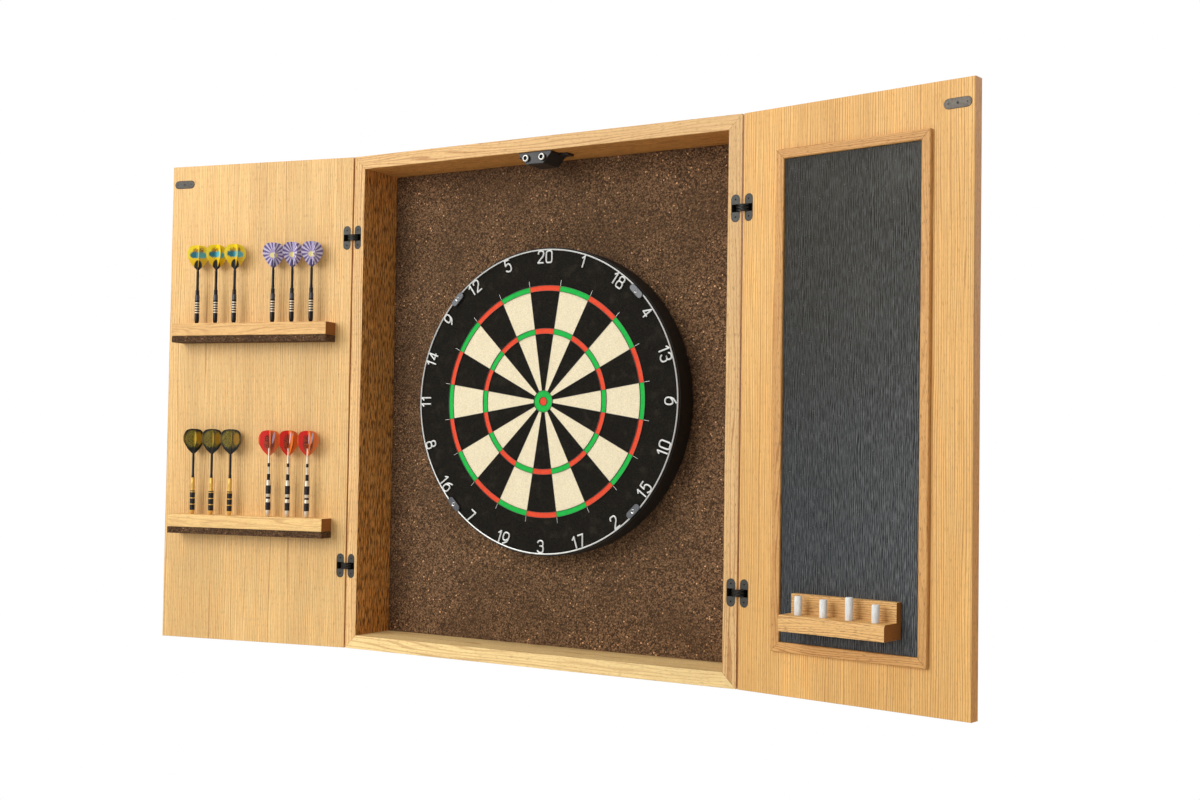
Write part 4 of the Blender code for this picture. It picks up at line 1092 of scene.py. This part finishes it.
class DARTS_OT_chalkboard(bpy.types.Operator):
    """Chalkboard with its mouldings, the chalk holder and four sticks of chalk"""
    bl_idname = "dart_cabinet.chalkboard"
    bl_label = "Chalkboard"

    def execute(self, context):
        tones = context.scene.dart_wood
        slate = ready("chalkboard paint", chalkboard_black)
        piece("chalkboard_finished", copy_of("chalkboard_panel", 0.0003), (slate,), "right_door",
              "chalkboard", "chalkboard_panel")
        upright = ready("moulding oak upright", wood, tones.moulding, "Z", "right")
        level = ready("moulding oak lengthways", wood, tones.moulding, "X", "right")
        holder = ready("holder oak", wood, tones.trim, "X", "right")
        mouldings = {"top": level, "bottom": level, "left": upright, "right": upright}
        for place, oak in mouldings.items():
            node = f"chalkboard_{place}_moulding"
            piece(f"{place}_moulding_finished", copy_of(node, 0.0014, 3, shortest=0.1), (oak,),
                  "right_door", "solid_oak", node)
        ends = ready("holder oak ends", end_grain, "right")
        along = on_door("right").to_3x3() @ Vector((1, 0, 0))
        shape = copy_of("chalk_holder", 0.0007, shortest=0.004)
        number_faces(shape, 1, lambda normal: abs(normal.dot(along)) > 0.8)
        piece("chalk_holder_finished", shape, (holder, ends), "right_door", "solid_oak", "chalk_holder")

        white = ready("chalk white", chalk_white)
        for number in (1, 2, 3, 4):
            node = f"chalk_{number}"
            low, high = door_box(node, "right")
            r, tall = (high.x - low.x) / 2, high.z - low.z
            worn = tall - 0.0024 - CHALK_WEAR * (number % 3)
            profile = [(0, 0), (r * 0.94, 0), (r, CHALK_EDGE), (r, tall * 0.55), (r * 0.985, worn),
                       *((r * share, tall - below) for share, below in CHALK_END)]
            stand = on_door("right") @ Matrix.Translation(middle(low, high, z=low.z))
            piece(f"{node}_stick", turned([(0, profile)], 28, stand), (white,), node, "chalk", node)
        return {"FINISHED"}


# Lights by name: where each stands, looking at the cabinet's middle, and its width.
LIGHTS = {"key": ((-1.5, -3.5, 1.2), 2.6), "fill": ((2.4, -2.2, 0.2), 1.6),
          "top": ((-0.2, -0.8, 2.6), 1.2), "back": ((1.2, 3.6, 1.4), 2.6)}
FLOOR_RADIUS = 3.5
WORLD_LIGHT, WORLD_SEEN = 0.38, 1.0  # brightness of the white world, as a light and as it is seen
LENS, SENSOR = 44.138, 36
CAMERA_PLACE = (1.166219, -1.868636, -0.06706)
YAW, PITCH, ROLL = radians(30.638), radians(1.873), radians(0.883)


class DARTS_OT_stage(bpy.types.Operator):
    """Pale floor, soft lights and the camera"""
    bl_idname = "dart_cabinet.stage"
    bl_label = "Stage"

    def execute(self, context):
        choice = context.scene.dart_stage
        shape = bmesh.new()
        bmesh.ops.create_circle(shape, cap_ends=True, segments=96, radius=FLOOR_RADIUS,
                                matrix=Matrix.Translation((0, 0, -choice.floor_drop)))
        floor = placed("floor", mesh_of("floor", shape))
        pale = Finish("pale floor", Specular_IOR_Level=0.2, Roughness=0.8)
        cloud = (pale.patches(0.4, 0.3, 0.7), shade(244, 243, 241))
        pale.feed(pale.shader.inputs["Base Color"], pale.coats(shade(236, 236, 234), cloud))
        floor.data.materials.append(pale.material)

        world = bpy.data.worlds.new("studio")
        world.use_nodes = True
        tree = world.node_tree
        background = tree.nodes["Background"]
        background.inputs["Color"].default_value = (1, 1, 1, 1)
        rays = tree.nodes.new("ShaderNodeLightPath")
        strength = tree.nodes.new("ShaderNodeMapRange")
        strength.inputs["To Min"].default_value = WORLD_LIGHT
        strength.inputs["To Max"].default_value = WORLD_SEEN
        tree.links.new(rays.outputs["Is Camera Ray"], strength.inputs["Value"])
        tree.links.new(strength.outputs[0], background.inputs["Strength"])
        context.scene.world = world
        context.scene.view_settings.view_transform = "Standard"

        for name, (place, width) in LIGHTS.items():
            lamp = bpy.data.lights.new(name, "AREA")
            lamp.shape, lamp.size, lamp.energy = "SQUARE", width, getattr(choice, f"{name}_power")
            made = placed(name, lamp)
            made.location = place
            made.rotation_euler = (-Vector(place)).to_track_quat("-Z", "Y").to_euler()

        lens = bpy.data.cameras.new("camera")
        lens.lens, lens.sensor_width = LENS, SENSOR
        camera = placed("camera", lens)
        ahead = Vector((-sin(YAW) * cos(PITCH), cos(YAW) * cos(PITCH), sin(PITCH)))
        right = Vector((cos(YAW), sin(YAW), 0))
        up = right.cross(ahead)
        columns = (cos(ROLL) * right + sin(ROLL) * up, cos(ROLL) * up - sin(ROLL) * right, -ahead)
        camera.matrix_world = Matrix.Translation(CAMERA_PLACE) @ Matrix(columns).transposed().to_4x4()
        context.scene.camera = camera
        return {"FINISHED"}


PIECES = (
    DARTS_OT_carcass, DARTS_OT_doors, DARTS_OT_hinges, DARTS_OT_strikes,
    DARTS_OT_catch, DARTS_OT_board, DARTS_OT_number_ring, DARTS_OT_racks,
    DARTS_OT_darts, DARTS_OT_chalkboard, DARTS_OT_stage,
)


class DARTS_PT_pieces(bpy.types.Panel):
    """The pieces of the cabinet, in the order they are made"""
    bl_idname = "DARTS_PT_pieces"
    bl_label = "Dart Board Cabinet"
    bl_space_type = "VIEW_3D"
    bl_region_type = "UI"
    bl_category = "Dart Cabinet"

    def draw(self, context):
        for maker in PIECES:
            self.layout.operator(maker.bl_idname)
        for name, group in GROUPS.items():
            box = self.layout.box()
            for choice in group.__annotations__:
                box.prop(getattr(context.scene, name), choice)


def register():
    for group in GROUPS.values():
        bpy.utils.register_class(group)
    for name, group in GROUPS.items():
        setattr(bpy.types.Scene, name, PointerProperty(type=group))
    for maker in (*PIECES, DARTS_PT_pieces):
        bpy.utils.register_class(maker)


def unregister():
    for maker in (DARTS_PT_pieces, *reversed(PIECES)):
        bpy.utils.unregister_class(maker)
    for name, group in GROUPS.items():
        delattr(bpy.types.Scene, name)
        bpy.utils.unregister_class(group)


def main():
    register()
    for maker in PIECES:
        group, name = maker.bl_idname.split(".")
        getattr(getattr(bpy.ops, group), name)()


if __name__ == "__main__":
    main()
